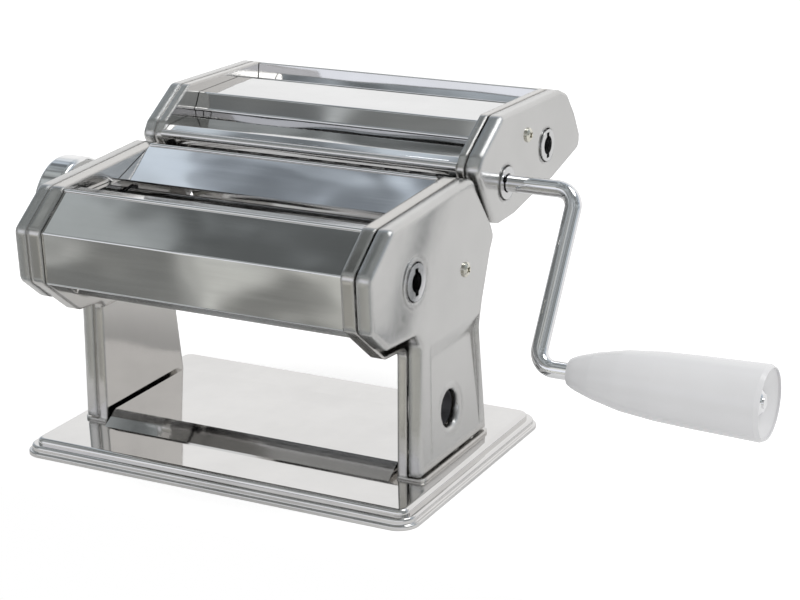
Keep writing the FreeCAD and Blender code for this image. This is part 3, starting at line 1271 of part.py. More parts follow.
# Rails on the body and runners on the attachment, in section across the slide
STEM_IN = f"({WEB} - sizes.hook_stem_in)"
STEM_OUT = f"({STEM_IN} + sizes.hook_stem)"
HEAD_IN = f"({STEM_IN} - sizes.hook_head_side)"
HEAD_OUT = f"({STEM_OUT} + sizes.hook_head_side)"
LIP_BACK = "-(sizes.rail_near + sizes.rail_lip)"
SLOT_BACK = f"{LIP_BACK} - sizes.rail_slot"
RAIL_BACK = f"{SLOT_BACK} - sizes.rail_wall"
rail = new_body("attachment_rail_right")
sketch = new_sketch(rail, "rail_section", "XY_Plane", off="sizes.gap_small")
polygon(sketch, [
    (RAIL_IN, RAIL_BACK), (WEB, RAIL_BACK), (WEB, "-sizes.rail_near"),
    (f"{STEM_OUT} + sizes.gap_small", "-sizes.rail_near"), (f"{STEM_OUT} + sizes.gap_small", LIP_BACK),
    (f"{HEAD_OUT} + sizes.gap_small", LIP_BACK), (f"{HEAD_OUT} + sizes.gap_small", SLOT_BACK),
    (f"{HEAD_IN} - sizes.gap_small", SLOT_BACK), (f"{HEAD_IN} - sizes.gap_small", LIP_BACK),
    (f"{STEM_IN} - sizes.gap_small", LIP_BACK), (f"{STEM_IN} - sizes.gap_small", "-sizes.rail_near"),
    (RAIL_IN, "-sizes.rail_near"),
])
pad(rail, sketch, "sizes.rail_length", "rail_pad")
sketch = new_sketch(rail, "rail_stop", "XY_Plane", off="sizes.gap_small - sizes.rail_stop")
rectangle(sketch, RAIL_IN, RAIL_BACK, WEB, "-sizes.rail_near")
pad(rail, sketch, "sizes.rail_stop", "rail_stop_pad")
place(rail, *HOOK, angle="sizes.hook_angle")
doc.recompute()
keep(rail)
keep(mirrored("attachment_rail_left", rail))
HEAD_FRONT = f"{LIP_BACK} - sizes.gap_small"
HEAD_BACK = f"{SLOT_BACK} + sizes.gap_small"
SEAT_FAR = "sizes.runner_seat + sizes.sheet_wall"
runner = new_body("cutter_runner_right")
sketch = new_sketch(runner, "runner_section", "XY_Plane", off="2 * sizes.gap_small")
polygon(sketch, [
    (HEAD_IN, HEAD_BACK), (HEAD_OUT, HEAD_BACK), (HEAD_OUT, HEAD_FRONT), (STEM_OUT, HEAD_FRONT),
    (STEM_OUT, "sizes.runner_seat"), (CUTTER_WEB, "sizes.runner_seat"), (CUTTER_WEB, SEAT_FAR),
    (STEM_IN, SEAT_FAR), (STEM_IN, HEAD_FRONT), (HEAD_IN, HEAD_FRONT),
])
pad(runner, sketch, "sizes.hook_length", "runner_pad")
place(runner, *HOOK, angle="sizes.hook_angle")
doc.recompute()
keep(runner)
keep(mirrored("cutter_runner_left", runner))

# Crank: one bent rod, its axis along X through the front cutter roll
TIP_START = f"{SOCKET_FLOOR} + sizes.crank_tip_gap"
ROD_START = f"{SOCKET_END} + sizes.crank_start"
ARM_X = f"({FACE} + sizes.crank_reach)"
GRIP_START = f"({ARM_X} + sizes.grip_gap)"
GRIP_END = f"({GRIP_START} + sizes.grip_length)"
DISH = f"({GRIP_END} - sizes.grip_dish)"
ROD_END = f"({DISH} - sizes.rivet_step)"
rod = new_body("crank_rod")
path = new_sketch(rod, "crank_path", "XZ_Plane")
key_points = [
    (ROD_START, "0"), (f"{ARM_X} - sizes.crank_bend", "0"), (ARM_X, "-sizes.crank_bend"),
    (ARM_X, "-(sizes.crank_length - sizes.crank_bend)"),
    (f"{ARM_X} + sizes.crank_bend", "-sizes.crank_length"), (ROD_END, "-sizes.crank_length"),
]
spots = [V(size(a), size(b), 0) for a, b in key_points]
bend_radius = size("sizes.crank_bend")
bend_1 = V(spots[1].x, spots[2].y, 0)
bend_2 = V(spots[4].x, spots[3].y, 0)
path.addGeometry(Part.LineSegment(spots[0], spots[1]), False)
path.addGeometry(Part.ArcOfCircle(Part.Circle(bend_1, V(0, 0, 1), bend_radius), 0, math.pi / 2), False)
path.addGeometry(Part.LineSegment(spots[2], spots[3]), False)
path.addGeometry(Part.ArcOfCircle(Part.Circle(bend_2, V(0, 0, 1), bend_radius),
                                  math.pi, 1.5 * math.pi), False)
path.addGeometry(Part.LineSegment(spots[4], spots[5]), False)
path.addConstraint(Sketcher.Constraint("Coincident", 0, 2, 1, 2))
path.addConstraint(Sketcher.Constraint("Coincident", 1, 1, 2, 1))
path.addConstraint(Sketcher.Constraint("Coincident", 2, 2, 3, 1))
path.addConstraint(Sketcher.Constraint("Coincident", 3, 2, 4, 1))
for geo, pos, (across, height) in ((0, 1, key_points[0]), (0, 2, key_points[1]), (2, 1, key_points[2]),
                                   (2, 2, key_points[3]), (4, 1, key_points[4]), (4, 2, key_points[5])):
    pin_point(path, geo, pos, across, height)
for geo in (1, 3):
    index = path.addConstraint(Sketcher.Constraint("Radius", geo, bend_radius))
    path.setExpression(f"Constraints[{index}]", "sizes.crank_bend")
sketch = new_sketch(rod, "crank_section", "YZ_Plane", off=ROD_START)
circle(sketch, "sizes.crank_rod_radius")
pipe = rod.newObject("PartDesign::AdditivePipe", "crank_bent")
pipe.Profile = sketch
pipe.Spine = (path, ["Edge1", "Edge2", "Edge3", "Edge4", "Edge5"])
settle(rod, pipe)
sketch = new_sketch(rod, "crank_tip", "YZ_Plane", off=TIP_START)
circle(sketch, "sizes.crank_tip_radius")
pad(rod, sketch, f"{ROD_START} - ({TIP_START})", "crank_tip_pad")
sketch = new_sketch(rod, "crank_pin", "XZ_Plane")
circle(sketch, "sizes.crank_pin_radius", f"{SOCKET_END} - sizes.socket_slot_depth / 2", "0")
pad(rod, sketch, "sizes.crank_pin_span", "crank_pin_pad", both=True)
sketch = new_sketch(rod, "crank_rivet", "YZ_Plane", off=ROD_END)
circle(sketch, "sizes.grip_rivet", "0", "-sizes.crank_length")
pad(rod, sketch, "sizes.rivet_length", "crank_rivet_pad")
place(rod, *WIDE, angle="-sizes.crank_angle")
doc.recompute()
keep(rod)

# Grip turning on the end of the rod, swelling towards its far end
GRIP_BORE = "(sizes.crank_rod_radius + sizes.shaft_play)"
GRIP_SPOT = (f"{WIDE[0]} - sizes.crank_length * sin(sizes.crank_angle)",
             f"{WIDE[1]} - sizes.crank_length * cos(sizes.crank_angle)")
GRIP_SWELL = [(0.033, 0.15), (0.13, 0.41), (0.28, 0.69), (0.46, 0.85), (0.65, 0.92)]
grip_profile = [(GRIP_START, GRIP_BORE), (GRIP_START, "sizes.grip_small")]
for along, share in GRIP_SWELL:
    grip_profile.append((f"{GRIP_START} + {along} * sizes.grip_length",
                         f"sizes.grip_small + {share} * (sizes.grip_large - sizes.grip_small)"))
grip_profile += [
    (f"{GRIP_END} - sizes.grip_edge", "sizes.grip_large"),
    (GRIP_END, "sizes.grip_large - sizes.grip_edge / 2"), (GRIP_END, "sizes.grip_large - sizes.grip_rim"),
    (f"{GRIP_END} - sizes.grip_edge / 2", "sizes.grip_large - sizes.grip_rim"),
    (DISH, f"{GRIP_BORE} + sizes.grip_edge"), (DISH, GRIP_BORE),
]
grip = turned("crank_grip", grip_profile, *GRIP_SPOT)
swell_start = size(f"{GRIP_START} + 0.02 * sizes.grip_length")
swell_end = size(f"{GRIP_START} + 0.6 * sizes.grip_length")
round_edges(grip, lambda e: swell_start < e.BoundBox.XMin and e.BoundBox.XMax < swell_end
            and e.BoundBox.ZLength > 2 * size("sizes.grip_small"), "sizes.grip_swell", "grip_swells")
keep(grip)
CAP_SEAT = f"{DISH} + sizes.gap_small"
CAP_TOP = f"{DISH} + sizes.cap_height"
keep(turned("grip_cap", [
    (CAP_SEAT, "sizes.grip_rivet"), (CAP_SEAT, f"{GRIP_BORE} + sizes.cap_width"),
    (f"{DISH} + sizes.cap_height / 2", f"{GRIP_BORE} + sizes.cap_width"),
    (CAP_TOP, GRIP_BORE), (CAP_TOP, "sizes.grip_rivet"),
], *GRIP_SPOT))

# Final check, then one file for each part
doc.recompute()
for item in doc.Objects:
    for word in ("Invalid", "Error"):
        if word in item.State:
            raise RuntimeError(f"{item.Label} is {word}")
os.makedirs("parts", exist_ok=True)
for item in parts:
    shape = item.Shape
    if shape.isNull() or not shape.isValid():
        raise RuntimeError(f"{item.Label} has no valid shape")
    shape.exportStep(f"parts/{item.Label}.step")
print(f"{len(parts)} parts written")
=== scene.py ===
# %% [markdown]
# # A hand-cranked pasta machine
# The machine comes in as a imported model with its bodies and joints. This lesson dresses it:
# each sheet, rod and roller gets a finish, pressed edges are softened, small trim is added,
# and a plain studio is set up round it.

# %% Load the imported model
import json
import math

import bpy
from mathutils import Matrix, Vector


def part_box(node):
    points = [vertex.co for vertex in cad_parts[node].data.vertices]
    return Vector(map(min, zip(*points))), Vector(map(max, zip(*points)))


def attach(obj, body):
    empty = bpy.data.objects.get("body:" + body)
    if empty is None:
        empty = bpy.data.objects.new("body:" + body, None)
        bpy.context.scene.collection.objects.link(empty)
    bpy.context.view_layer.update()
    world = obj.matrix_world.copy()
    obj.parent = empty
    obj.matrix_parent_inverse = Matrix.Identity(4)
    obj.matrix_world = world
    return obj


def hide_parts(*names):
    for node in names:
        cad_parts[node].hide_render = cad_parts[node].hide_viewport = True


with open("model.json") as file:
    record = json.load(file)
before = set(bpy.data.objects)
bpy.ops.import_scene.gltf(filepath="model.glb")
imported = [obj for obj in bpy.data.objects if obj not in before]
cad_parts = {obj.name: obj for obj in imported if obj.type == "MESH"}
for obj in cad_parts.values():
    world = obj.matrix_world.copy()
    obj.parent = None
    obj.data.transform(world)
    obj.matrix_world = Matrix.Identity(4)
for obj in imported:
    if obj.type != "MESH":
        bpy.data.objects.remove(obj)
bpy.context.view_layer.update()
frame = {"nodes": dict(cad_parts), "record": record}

# %% [markdown]
# ## Names used throughout
# Blender works in metres, so one millimetre gets a name. One helper puts new data into the
# scene, and one makes a material with a Principled shader, because every piece and every
# finish starts from them.

# %% Millimetres, new objects and a bare material
MM = 0.001


def in_scene(name, data):
    """New object for some data, linked into the scene."""
    piece = bpy.data.objects.new(name, data)
    bpy.context.scene.collection.objects.link(piece)
    return piece


def bare_material(name):
    """New material: itself, its nodes, its links and its Principled shader."""
    material = bpy.data.materials.new(name)
    material.use_nodes = True
    tree = material.node_tree
    return material, tree.nodes, tree.links, tree.nodes["Principled BSDF"]


print("one millimetre in metres:", MM)

# %% [markdown]
# ## Grain
# Scratches, patches and slow waves are all noise, and only their scale and direction differ.
# The noise is read in the piece's own coordinates, so it turns and slides with the piece when
# a joint moves. Noise rarely leaves its middle band, so that band is what gets mapped.

# %% Grain and its range
NOISE_LOW, NOISE_HIGH = 0.3, 0.7


def object_grain(nodes, links, scale, detail, roughness=0.6, shift=0.0):
    """Noise in the piece's own coordinates, stretched by a scale along each axis."""
    coords = nodes.new("ShaderNodeTexCoord")
    mapping = nodes.new("ShaderNodeMapping")
    mapping.inputs["Scale"].default_value = scale
    mapping.inputs["Location"].default_value = (shift, shift, shift)
    noise = nodes.new("ShaderNodeTexNoise")
    noise.inputs["Scale"].default_value = 1.0
    noise.inputs["Detail"].default_value = detail
    noise.inputs["Roughness"].default_value = roughness
    links.new(coords.outputs["Object"], mapping.inputs["Vector"])
    links.new(mapping.outputs["Vector"], noise.inputs["Vector"])
    return noise


def spread(nodes, links, source, low, high):
    """Map a noise value from its middle band to a range."""
    node = nodes.new("ShaderNodeMapRange")
    node.inputs["From Min"].default_value = NOISE_LOW
    node.inputs["From Max"].default_value = NOISE_HIGH
    node.inputs["To Min"].default_value = low
    node.inputs["To Max"].default_value = high
    links.new(source.outputs["Fac"], node.inputs["Value"])
    return node.outputs["Result"]


print("noise band:", NOISE_LOW, "to", NOISE_HIGH)

# %% [markdown]
# ## Uneven colour and bumps
# No real surface has one flat colour, so each finish drifts a little between its colour and a
# darker one, in patches a few centimetres wide. Bumps can be laid over each other: each one
# takes the surface that the last one left.

# %% Colour patches and bumps
def uneven_colour(nodes, links, shader, colour, darkest, patch_scale, detail):
    """Let the base colour drift in patches down to a darker share of itself."""
    tint = nodes.new("ShaderNodeMix")
    tint.data_type = "RGBA"
    tint.inputs["A"].default_value = (*colour, 1.0)
    tint.inputs["B"].default_value = (*[c * darkest for c in colour], 1.0)
    patches = object_grain(nodes, links, (patch_scale,) * 3, detail)
    links.new(spread(nodes, links, patches, 0.0, 1.0), tint.inputs["Factor"])
    links.new(tint.outputs["Result"], shader.inputs["Base Color"])


def bump(nodes, links, height, strength, depth, under=None):
    """Bump from a noise, over the surface of another node when one is given."""
    node = nodes.new("ShaderNodeBump")
    node.inputs["Strength"].default_value = strength
    node.inputs["Distance"].default_value = depth * MM
    links.new(height.outputs["Fac"], node.inputs["Height"])
    if under is not None:
        links.new(under.outputs["Normal"], node.inputs["Normal"])
    return node


print("helpers for colour and bumps are ready")

# %% [markdown]
# ## Steel and chrome
# Polished sheet is a metal with a very low roughness. What makes it look like sheet and not
# like glass is its shape: rolling and bending leave long shallow waves, and the waves bend
# every reflection into streaks. The fine scratches follow the way the piece was ground or
# wiped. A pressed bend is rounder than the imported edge, and a Bevel node softens how that
# edge is shaded without moving it.

# %% A metal finish
METAL_DARKEST, METAL_PATCHES, METAL_PATCH_DETAIL = 0.93, 30.0, 3.0
SCRATCH_DETAIL, SCRATCH_DEPTH = 4.0, 0.03
WAVE_DETAIL, WAVE_ROUGHNESS, WAVE_SHIFT = 1.0, 0.4, 3.7
BEND_SAMPLES = 6


def soft_bend(nodes, radius):
    """Normal that rounds off the edges in the shading."""
    bend = nodes.new("ShaderNodeBevel")
    bend.samples = BEND_SAMPLES
    bend.inputs["Radius"].default_value = radius * MM
    return bend


def metal(name, colour, rough, grain, wave=0.0, wave_scale=None, smudge=0.25, scratch=0.04,
          soft_edge=0.0):
    """Metal with uneven roughness, scratches along a grain, slow waves and softened bends."""
    material, nodes, links, shader = bare_material(name)
    shader.inputs["Metallic"].default_value = 1.0
    uneven_colour(nodes, links, shader, colour, METAL_DARKEST, METAL_PATCHES, METAL_PATCH_DETAIL)
    scratches = object_grain(nodes, links, grain, SCRATCH_DETAIL)
    links.new(spread(nodes, links, scratches, rough * (1.0 - smudge), rough * (1.0 + smudge)),
              shader.inputs["Roughness"])
    bend = soft_bend(nodes, soft_edge) if soft_edge > 0.0 else None
    surface = bump(nodes, links, scratches, scratch, SCRATCH_DEPTH, bend)
    if wave > 0.0:
        slow = object_grain(nodes, links, wave_scale, WAVE_DETAIL, WAVE_ROUGHNESS, WAVE_SHIFT)
        surface = bump(nodes, links, slow, 1.0, wave, surface)
    links.new(surface.outputs["Normal"], shader.inputs["Normal"])
    return material


print("scratch depth:", SCRATCH_DEPTH, "mm")

# %% [markdown]
# ## The machine's metals
# Each kind of part gets the finish its making leaves. A scale is given along X, which runs
# along the rollers, and then along Y and Z: a low number draws the grain out. Polished steel
# takes most of its colour from what it mirrors, so the metals stay close to neutral and no
# reflection is painted into them.

# %% Metal finishes
ALONG_ROLLERS = (20.0, 500.0, 500.0)
ROUND_AXIS = (900.0, 60.0, 60.0)
ALL_WAYS = (260.0, 260.0, 260.0)
LONG_WAVES = (12.0, 26.0, 26.0)
PLATE_WAVES = (9.0, 9.0, 9.0)
PRESSED_WAVES = (26.0, 26.0, 26.0)

finishes = {
    "base_polish": metal("Mirror base", (0.74, 0.73, 0.72), 0.06, ALL_WAYS,
                         wave=0.6, wave_scale=PLATE_WAVES),
    "sheet_polish": metal("Mirror sheet", (0.78, 0.78, 0.78), 0.07, ALONG_ROLLERS,
                          wave=1.6, wave_scale=LONG_WAVES, smudge=0.15, scratch=0.012),
    "frame_steel": metal("Bright pressed steel", (0.60, 0.585, 0.565), 0.13, ALL_WAYS,
                         wave=0.5, wave_scale=PRESSED_WAVES, soft_edge=2.0),
    "cover_satin": metal("Satin cover", (0.60, 0.595, 0.585), 0.17, ALL_WAYS,
                         wave=0.4, wave_scale=PRESSED_WAVES, smudge=0.15, scratch=0.02,
                         soft_edge=3.2),
    "spring_sheet": metal("Spring sheet", (0.55, 0.55, 0.54), 0.2, ALONG_ROLLERS),
    "rod_steel": metal("Turned rod", (0.70, 0.69, 0.68), 0.2, ROUND_AXIS),
    "screw_steel": metal("Screw steel", (0.72, 0.70, 0.62), 0.2, ALL_WAYS),
    "roller_chrome": metal("Ground roller", (0.74, 0.74, 0.75), 0.12, ROUND_AXIS),
    "cutter_steel": metal("Cutter steel", (0.66, 0.66, 0.66), 0.2, ROUND_AXIS),
    "gear_steel": metal("Gear steel", (0.52, 0.52, 0.5), 0.3, ALL_WAYS),
    "knob_chrome": metal("Knob chrome", (0.84, 0.84, 0.84), 0.08, ALL_WAYS),
    "crank_chrome": metal("Crank chrome", (0.86, 0.86, 0.87), 0.06, ROUND_AXIS),
}
print("metal finishes:", len(finishes))

# %% [markdown]
# ## Plastics
# The grip is glossy white plastic: nearly even in colour, with a faint orange-peel skin.
# The bushes are dark moulded plastic with a rougher skin, so one function makes both.

# %% Plastic finishes
PLASTIC_DARKEST, PLASTIC_PATCHES, PLASTIC_DETAIL = 0.97, 40.0, 2.0
PLASTIC_SMUDGE, PEEL_DEPTH = 0.15, 0.05


def plastic(name, colour, rough, skin):
    """Moulded plastic with a slightly uneven gloss."""
    material, nodes, links, shader = bare_material(name)
    uneven_colour(nodes, links, shader, colour, PLASTIC_DARKEST, PLASTIC_PATCHES, PLASTIC_DETAIL)
    peel = object_grain(nodes, links, ALL_WAYS, PLASTIC_DETAIL)
    links.new(spread(nodes, links, peel, rough * (1.0 - PLASTIC_SMUDGE), rough * (1.0 + PLASTIC_SMUDGE)),
              shader.inputs["Roughness"])
    surface = bump(nodes, links, peel, skin, PEEL_DEPTH)
    links.new(surface.outputs["Normal"], shader.inputs["Normal"])
    return material


finishes["grip_white"] = plastic("White grip", (0.77, 0.77, 0.78), 0.18, 0.05)
finishes["bush_plastic"] = plastic("Dark bush", (0.05, 0.05, 0.055), 0.45, 0.2)
print("finishes:", ", ".join(sorted(finishes)))

# %% [markdown]
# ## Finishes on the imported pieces
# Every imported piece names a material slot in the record. The finish with that name goes on it,
# so nothing is left in a flat colour. New pieces get their finish in the same way, and also
# ride on a body, so that they move with its joint.

# %% Put the finishes on
def put_on(piece, slot):
    """Give a piece its slot's finish alone."""
    piece.data.materials.clear()
    piece.data.materials.append(finishes[slot])


def finish_piece(piece, body, slot):
    """Put a new piece on its body with its slot's finish."""
    put_on(piece, slot)
    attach(piece, body)


slot_of = {row["node"]: row["material_slot"] for row in frame["record"]["subparts"]}
for node_name, piece in frame["nodes"].items():
    put_on(piece, slot_of[node_name])
print("dressed pieces:", len(frame["nodes"]))

# %% [markdown]
# ## Front cover with its short return
# The front cover's lower edge turns back under itself by only a few millimetres. The packed
# sheet runs on further. It could be drawn anew, but its creases already stand right, so its
# mesh is copied and each point is moved by a rule. This first step makes the copy.

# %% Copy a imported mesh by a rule
SHARP_FROM = 25.0


def moved_copy(node_name, name, move):
    """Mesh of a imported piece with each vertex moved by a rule, sharp edges kept."""
    source = frame["nodes"][node_name].data
    spots = [move(vertex.co / MM) * MM for vertex in source.vertices]
    mesh = bpy.data.meshes.new(name)
    mesh.from_pydata(spots, [], [tuple(face.vertices) for face in source.polygons])
    mesh.polygons.foreach_set("use_smooth", [True] * len(mesh.polygons))
    mesh.set_sharp_from_angle(angle=math.radians(SHARP_FROM))
    return in_scene(name, mesh)


front_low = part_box("front_cover")[0][2] / MM
print("front cover's lowest height:", round(front_low, 2), "mm")

# %% [markdown]
# The rule has three parts. Points above the lower edge's bend stay. Points of that bend go down
# a little, so that the flat front grows by the same step. Points of the return are drawn in to
# one line each for the sheet's inner and outer side.

# %% Fold the return short
EDGE_TOP, EDGE_DROP = 92.05, 1.3
RETURN_START, RETURN_END = -75.0, -71.0
RETURN_UP, SHEET_WALL = 89.3, 1.0
INNER_ABOVE = 0.4


def fold_short(spot):
    """Lower the front edge and pull the end of the return in under it."""
    if spot.z > EDGE_TOP:
        return spot
    if spot.y > RETURN_START:
        inner = spot.z > front_low + INNER_ABOVE
        return Vector((spot.x, RETURN_END, RETURN_UP + (SHEET_WALL if inner else 0.0)))
    return Vector((spot.x, spot.y, spot.z - EDGE_DROP))


front = moved_copy("front_cover", "front_cover_folded", fold_short)
finish_piece(front, "frame", "sheet_polish")
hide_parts("front_cover")
print("front cover vertices:", len(front.data.vertices))

# %% [markdown]
# ## Thin sheet
# A strip of sheet is quickest as a surface without thickness. A Solidify modifier then gives
# it its wall, half to each side, and the wall stays one number.

# %% Give a surface its wall
def thickened(piece, wall):
    """Wall for a surface, half on each side."""
    thick = piece.modifiers.new("thickness", "SOLIDIFY")
    thick.thickness = wall * MM
    thick.offset = 0.0
    return piece


print("sheet walls are made by modifier")

# %% [markdown]
# ## Bands in the knob side's seams
# Cover and frame meet with a narrow gap. On the crank side it shows as a black line. On the
# knob side no black shows, as if the inner pan's lip filled it from within, so a band follows
# the cover's edge there, a little way inside it. The edge is read from the cover's own mesh, so
# the band fits both covers without a second outline.

# %% Seam bands
SEAM_COVER, SEAM_FRAME = -84.4, -83.2
BAND_INSIDE, BAND_WALL = 0.4, 0.3
AT_EDGE, FACES_ROUND = 0.02, 0.5


def rim_edges(cover):
    """Outward direction and two ends of each stretch of a cover's open edge."""
    at_edge = {v.index for v in cover.vertices if abs(v.co.x / MM - SEAM_COVER) < AT_EDGE}
    for face in cover.polygons:
        ends = [cover.vertices[i].co for i in face.vertices if i in at_edge]
        if abs(face.normal.x) <= FACES_ROUND and len(ends) == 2:
            yield face.normal, ends


def seam_band(cover_node, name, body):
    """Ring between a cover's edge and its frame, set inside the edge."""
    corners, faces = [], []
    for outward, ends in rim_edges(frame["nodes"][cover_node].data):
        start = len(corners)
        inset = [end - outward * BAND_INSIDE * MM for end in ends]
        corners += [(SEAM_COVER * MM, end.y, end.z) for end in inset]
        corners += [(SEAM_FRAME * MM, end.y, end.z) for end in reversed(inset)]
        faces.append((start, start + 1, start + 2, start + 3))
    mesh = bpy.data.meshes.new(name)
    mesh.from_pydata(corners, [], faces)
    finish_piece(thickened(in_scene(name, mesh), BAND_WALL), body, "frame_steel")
    return len(faces)


print("band faces:", seam_band("side_cover_left", "seam_band_left", "frame"),
      seam_band("cutter_cover_left", "cutter_seam_band_left", "cutter"))

# %% [markdown]
# ## Lip in front of the first guide
# The first guide's sheet turns down behind the front bar, so the cutting roll can't be seen
# under the bar. A narrow lip closes that slit from side to side. It is drawn as a side view of
# four points, depth and height, and carried along the rollers.

# %% Front guide lip
LIP_ROUTE = ((29.9, 138.2), (29.3, 136.8), (29.2, 134.5), (29.8, 131.6))
LIP_HALF, LIP_WALL = 74.0, 0.6


def sheet_along(name, route, half, wall):
    """Thin sheet along the rollers, bent through a route of depth and height."""
    corners = [(side * half * MM, y * MM, z * MM) for y, z in route for side in (-1, 1)]
    faces = [(2 * i, 2 * i + 1, 2 * i + 3, 2 * i + 2) for i in range(len(route) - 1)]
    mesh = bpy.data.meshes.new(name)
    mesh.from_pydata(corners, [], faces)
    mesh.polygons.foreach_set("use_smooth", [True] * len(faces))
    return thickened(in_scene(name, mesh), wall)


finish_piece(sheet_along("front_guide_lip", LIP_ROUTE, LIP_HALF, LIP_WALL), "cutter", "sheet_polish")
print("lip width:", 2 * LIP_HALF, "mm")

# %% [markdown]
# ## Worn edges
# No sheared or turned edge is razor sharp, and it is the bright line along an edge that
# shows where two faces meet. A Bevel modifier that only takes the sharp edges does this
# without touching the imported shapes.

# %% Break the sharp edges
EDGE_WEAR, WORN_FROM = 0.15, 50.0
WORN_PIECES = ("throat_guide_left", "throat_guide_right",
               "attachment_rail_left", "attachment_rail_right",
               "cutter_runner_left", "cutter_runner_right",
               "foot_screws", "tie_rods", "cutter_tie_rods")


def broken_edges(node_name):
    """Narrow bevel on the edges that turn by more than an angle."""
    bevel = frame["nodes"][node_name].modifiers.new("broken_edge", "BEVEL")
    bevel.width = EDGE_WEAR * MM
    bevel.segments = 2
    bevel.limit_method = "ANGLE"
    bevel.angle_limit = math.radians(WORN_FROM)


for node_name in WORN_PIECES:
    broken_edges(node_name)
print("pieces with broken edges:", len(WORN_PIECES))

# %% [markdown]
# ## Studio
# Polished sheet shows nothing but its surroundings, so the surroundings matter as much as the
# metal. They could be cards and walls, but a world that answers by direction needs no extra
# pieces. This cell makes the few joins that the studio is wired with.

# %% Studio helpers
world = bpy.data.worlds.new("Studio")
bpy.context.scene.world = world
world.use_nodes = True
sky, sky_links = world.node_tree.nodes, world.node_tree.links
sky.clear()


def unit_range(source, low, high, to_low=0.0, to_high=1.0):
    """Map a value smoothly between two levels, clamped."""
    node = sky.new("ShaderNodeMapRange")
    node.interpolation_type = "SMOOTHSTEP"
    node.inputs["From Min"].default_value = low
    node.inputs["From Max"].default_value = high
    node.inputs["To Min"].default_value = to_low
    node.inputs["To Max"].default_value = to_high
    sky_links.new(source, node.inputs["Value"])
    return node.outputs["Result"]


def joined(operation, first, second):
    """Two values put together by one operation."""
    node = sky.new("ShaderNodeMath")
    node.operation = operation
    sky_links.new(first, node.inputs[0])
    sky_links.new(second, node.inputs[1])
    return node.outputs["Value"]


direction = sky.new("ShaderNodeTexCoord").outputs["Generated"]
split = sky.new("ShaderNodeSeparateXYZ")
sky_links.new(direction, split.inputs["Vector"])
print("world:", world.name)

# %% [markdown]
# ## Room levels
# How bright the room is goes by how far a direction points to the back. At the back is a white
# sweep. Beside it the light turns bluish, at the sides and overhead it is dim, and in front
# there is a warm grey room. A colour ramp holds those levels, from front (-1) to back (1).

# %% Room levels
ROOM_LEVELS = (
    (-1.00, (0.47, 0.47, 0.44)),
    (-0.80, (0.47, 0.47, 0.44)),
    (-0.60, (0.34, 0.36, 0.37)),
    (-0.10, (0.24, 0.255, 0.255)),
    (0.28, (0.33, 0.36, 0.38)),
    (0.50, (0.42, 0.47, 0.53)),
    (0.64, (0.70, 0.73, 0.76)),
    (0.74, (1.00, 1.00, 1.00)),
)

front_to_back = sky.new("ShaderNodeMapRange")
front_to_back.inputs["From Min"].default_value = -1.0
front_to_back.inputs["From Max"].default_value = 1.0
sky_links.new(split.outputs["Y"], front_to_back.inputs["Value"])
ramp = sky.new("ShaderNodeValToRGB")
steps = ramp.color_ramp.elements
for count, (where, colour) in enumerate(ROOM_LEVELS):
    along_ramp = 0.5 * (where + 1.0)
    step = steps[count] if count < 2 else steps.new(along_ramp)
    step.position = along_ramp
    step.color = (*colour, 1.0)
sky_links.new(front_to_back.outputs["Result"], ramp.inputs["Fac"])
print("room levels:", len(ROOM_LEVELS))

# %% [markdown]
# ## Patches
# A real room isn't even, and a long mirror of sheet shows that as soft light and dark fields.
# Noise over the directions gives them, narrow from side to side and drawn out up and down. They
# fade towards the back, where the sweep stays white.

# %% Patches
ROOM_PATCHES, PATCH_SHIFT, ROOM_PATCH_DETAIL = (24.0, 6.0, 6.0), 7.3, 1.5
PATCH_NOISE_LOW, PATCH_NOISE_HIGH = 0.36, 0.64
PATCH_DARK, PATCH_BRIGHT = 0.45, 1.85
PATCHES_UNTIL, EVEN_FROM = 0.45, 0.7

patch_scale = sky.new("ShaderNodeMapping")
patch_scale.inputs["Scale"].default_value = ROOM_PATCHES
patch_scale.inputs["Location"].default_value = (PATCH_SHIFT, 0.0, 0.0)
sky_links.new(direction, patch_scale.inputs["Vector"])
patch_noise = sky.new("ShaderNodeTexNoise")
patch_noise.inputs["Scale"].default_value = 1.0
patch_noise.inputs["Detail"].default_value = ROOM_PATCH_DETAIL
sky_links.new(patch_scale.outputs["Vector"], patch_noise.inputs["Vector"])
patch_level = unit_range(patch_noise.outputs["Fac"], PATCH_NOISE_LOW, PATCH_NOISE_HIGH,
                         PATCH_DARK, PATCH_BRIGHT)
patch_mix = sky.new("ShaderNodeMix")
patch_mix.data_type = "FLOAT"
patch_mix.inputs["A"].default_value = 1.0
sky_links.new(unit_range(split.outputs["Y"], PATCHES_UNTIL, EVEN_FROM, 1.0, 0.0),
              patch_mix.inputs["Factor"])
sky_links.new(patch_level, patch_mix.inputs["B"])
patchy = sky.new("ShaderNodeVectorMath")
patchy.operation = "SCALE"
sky_links.new(ramp.outputs["Color"], patchy.inputs[0])
sky_links.new(patch_mix.outputs["Result"], patchy.inputs["Scale"])
print("patches go from", PATCH_DARK, "to", PATCH_BRIGHT, "of the room's level")

# %% [markdown]
# ## Bright panel in front
# The cutter's last guide shows a broad bright field, and the bar in front of the cutter and the
# grip pick up some of it. It comes from a panel in front of the machine, from about the
# machine's own height upwards. Three smooth steps bound it: far enough to the front, above its
# foot and below its top.

# %% Bright panel
PANEL_LIGHT = (0.96, 0.98, 1.05)
PANEL_OUTSIDE, PANEL_INSIDE = -0.55, -0.75
PANEL_FOOT_LOW, PANEL_FOOT_HIGH = -0.04, 0.03
PANEL_TOP_HIGH, PANEL_TOP_LOW = 0.46, 0.36

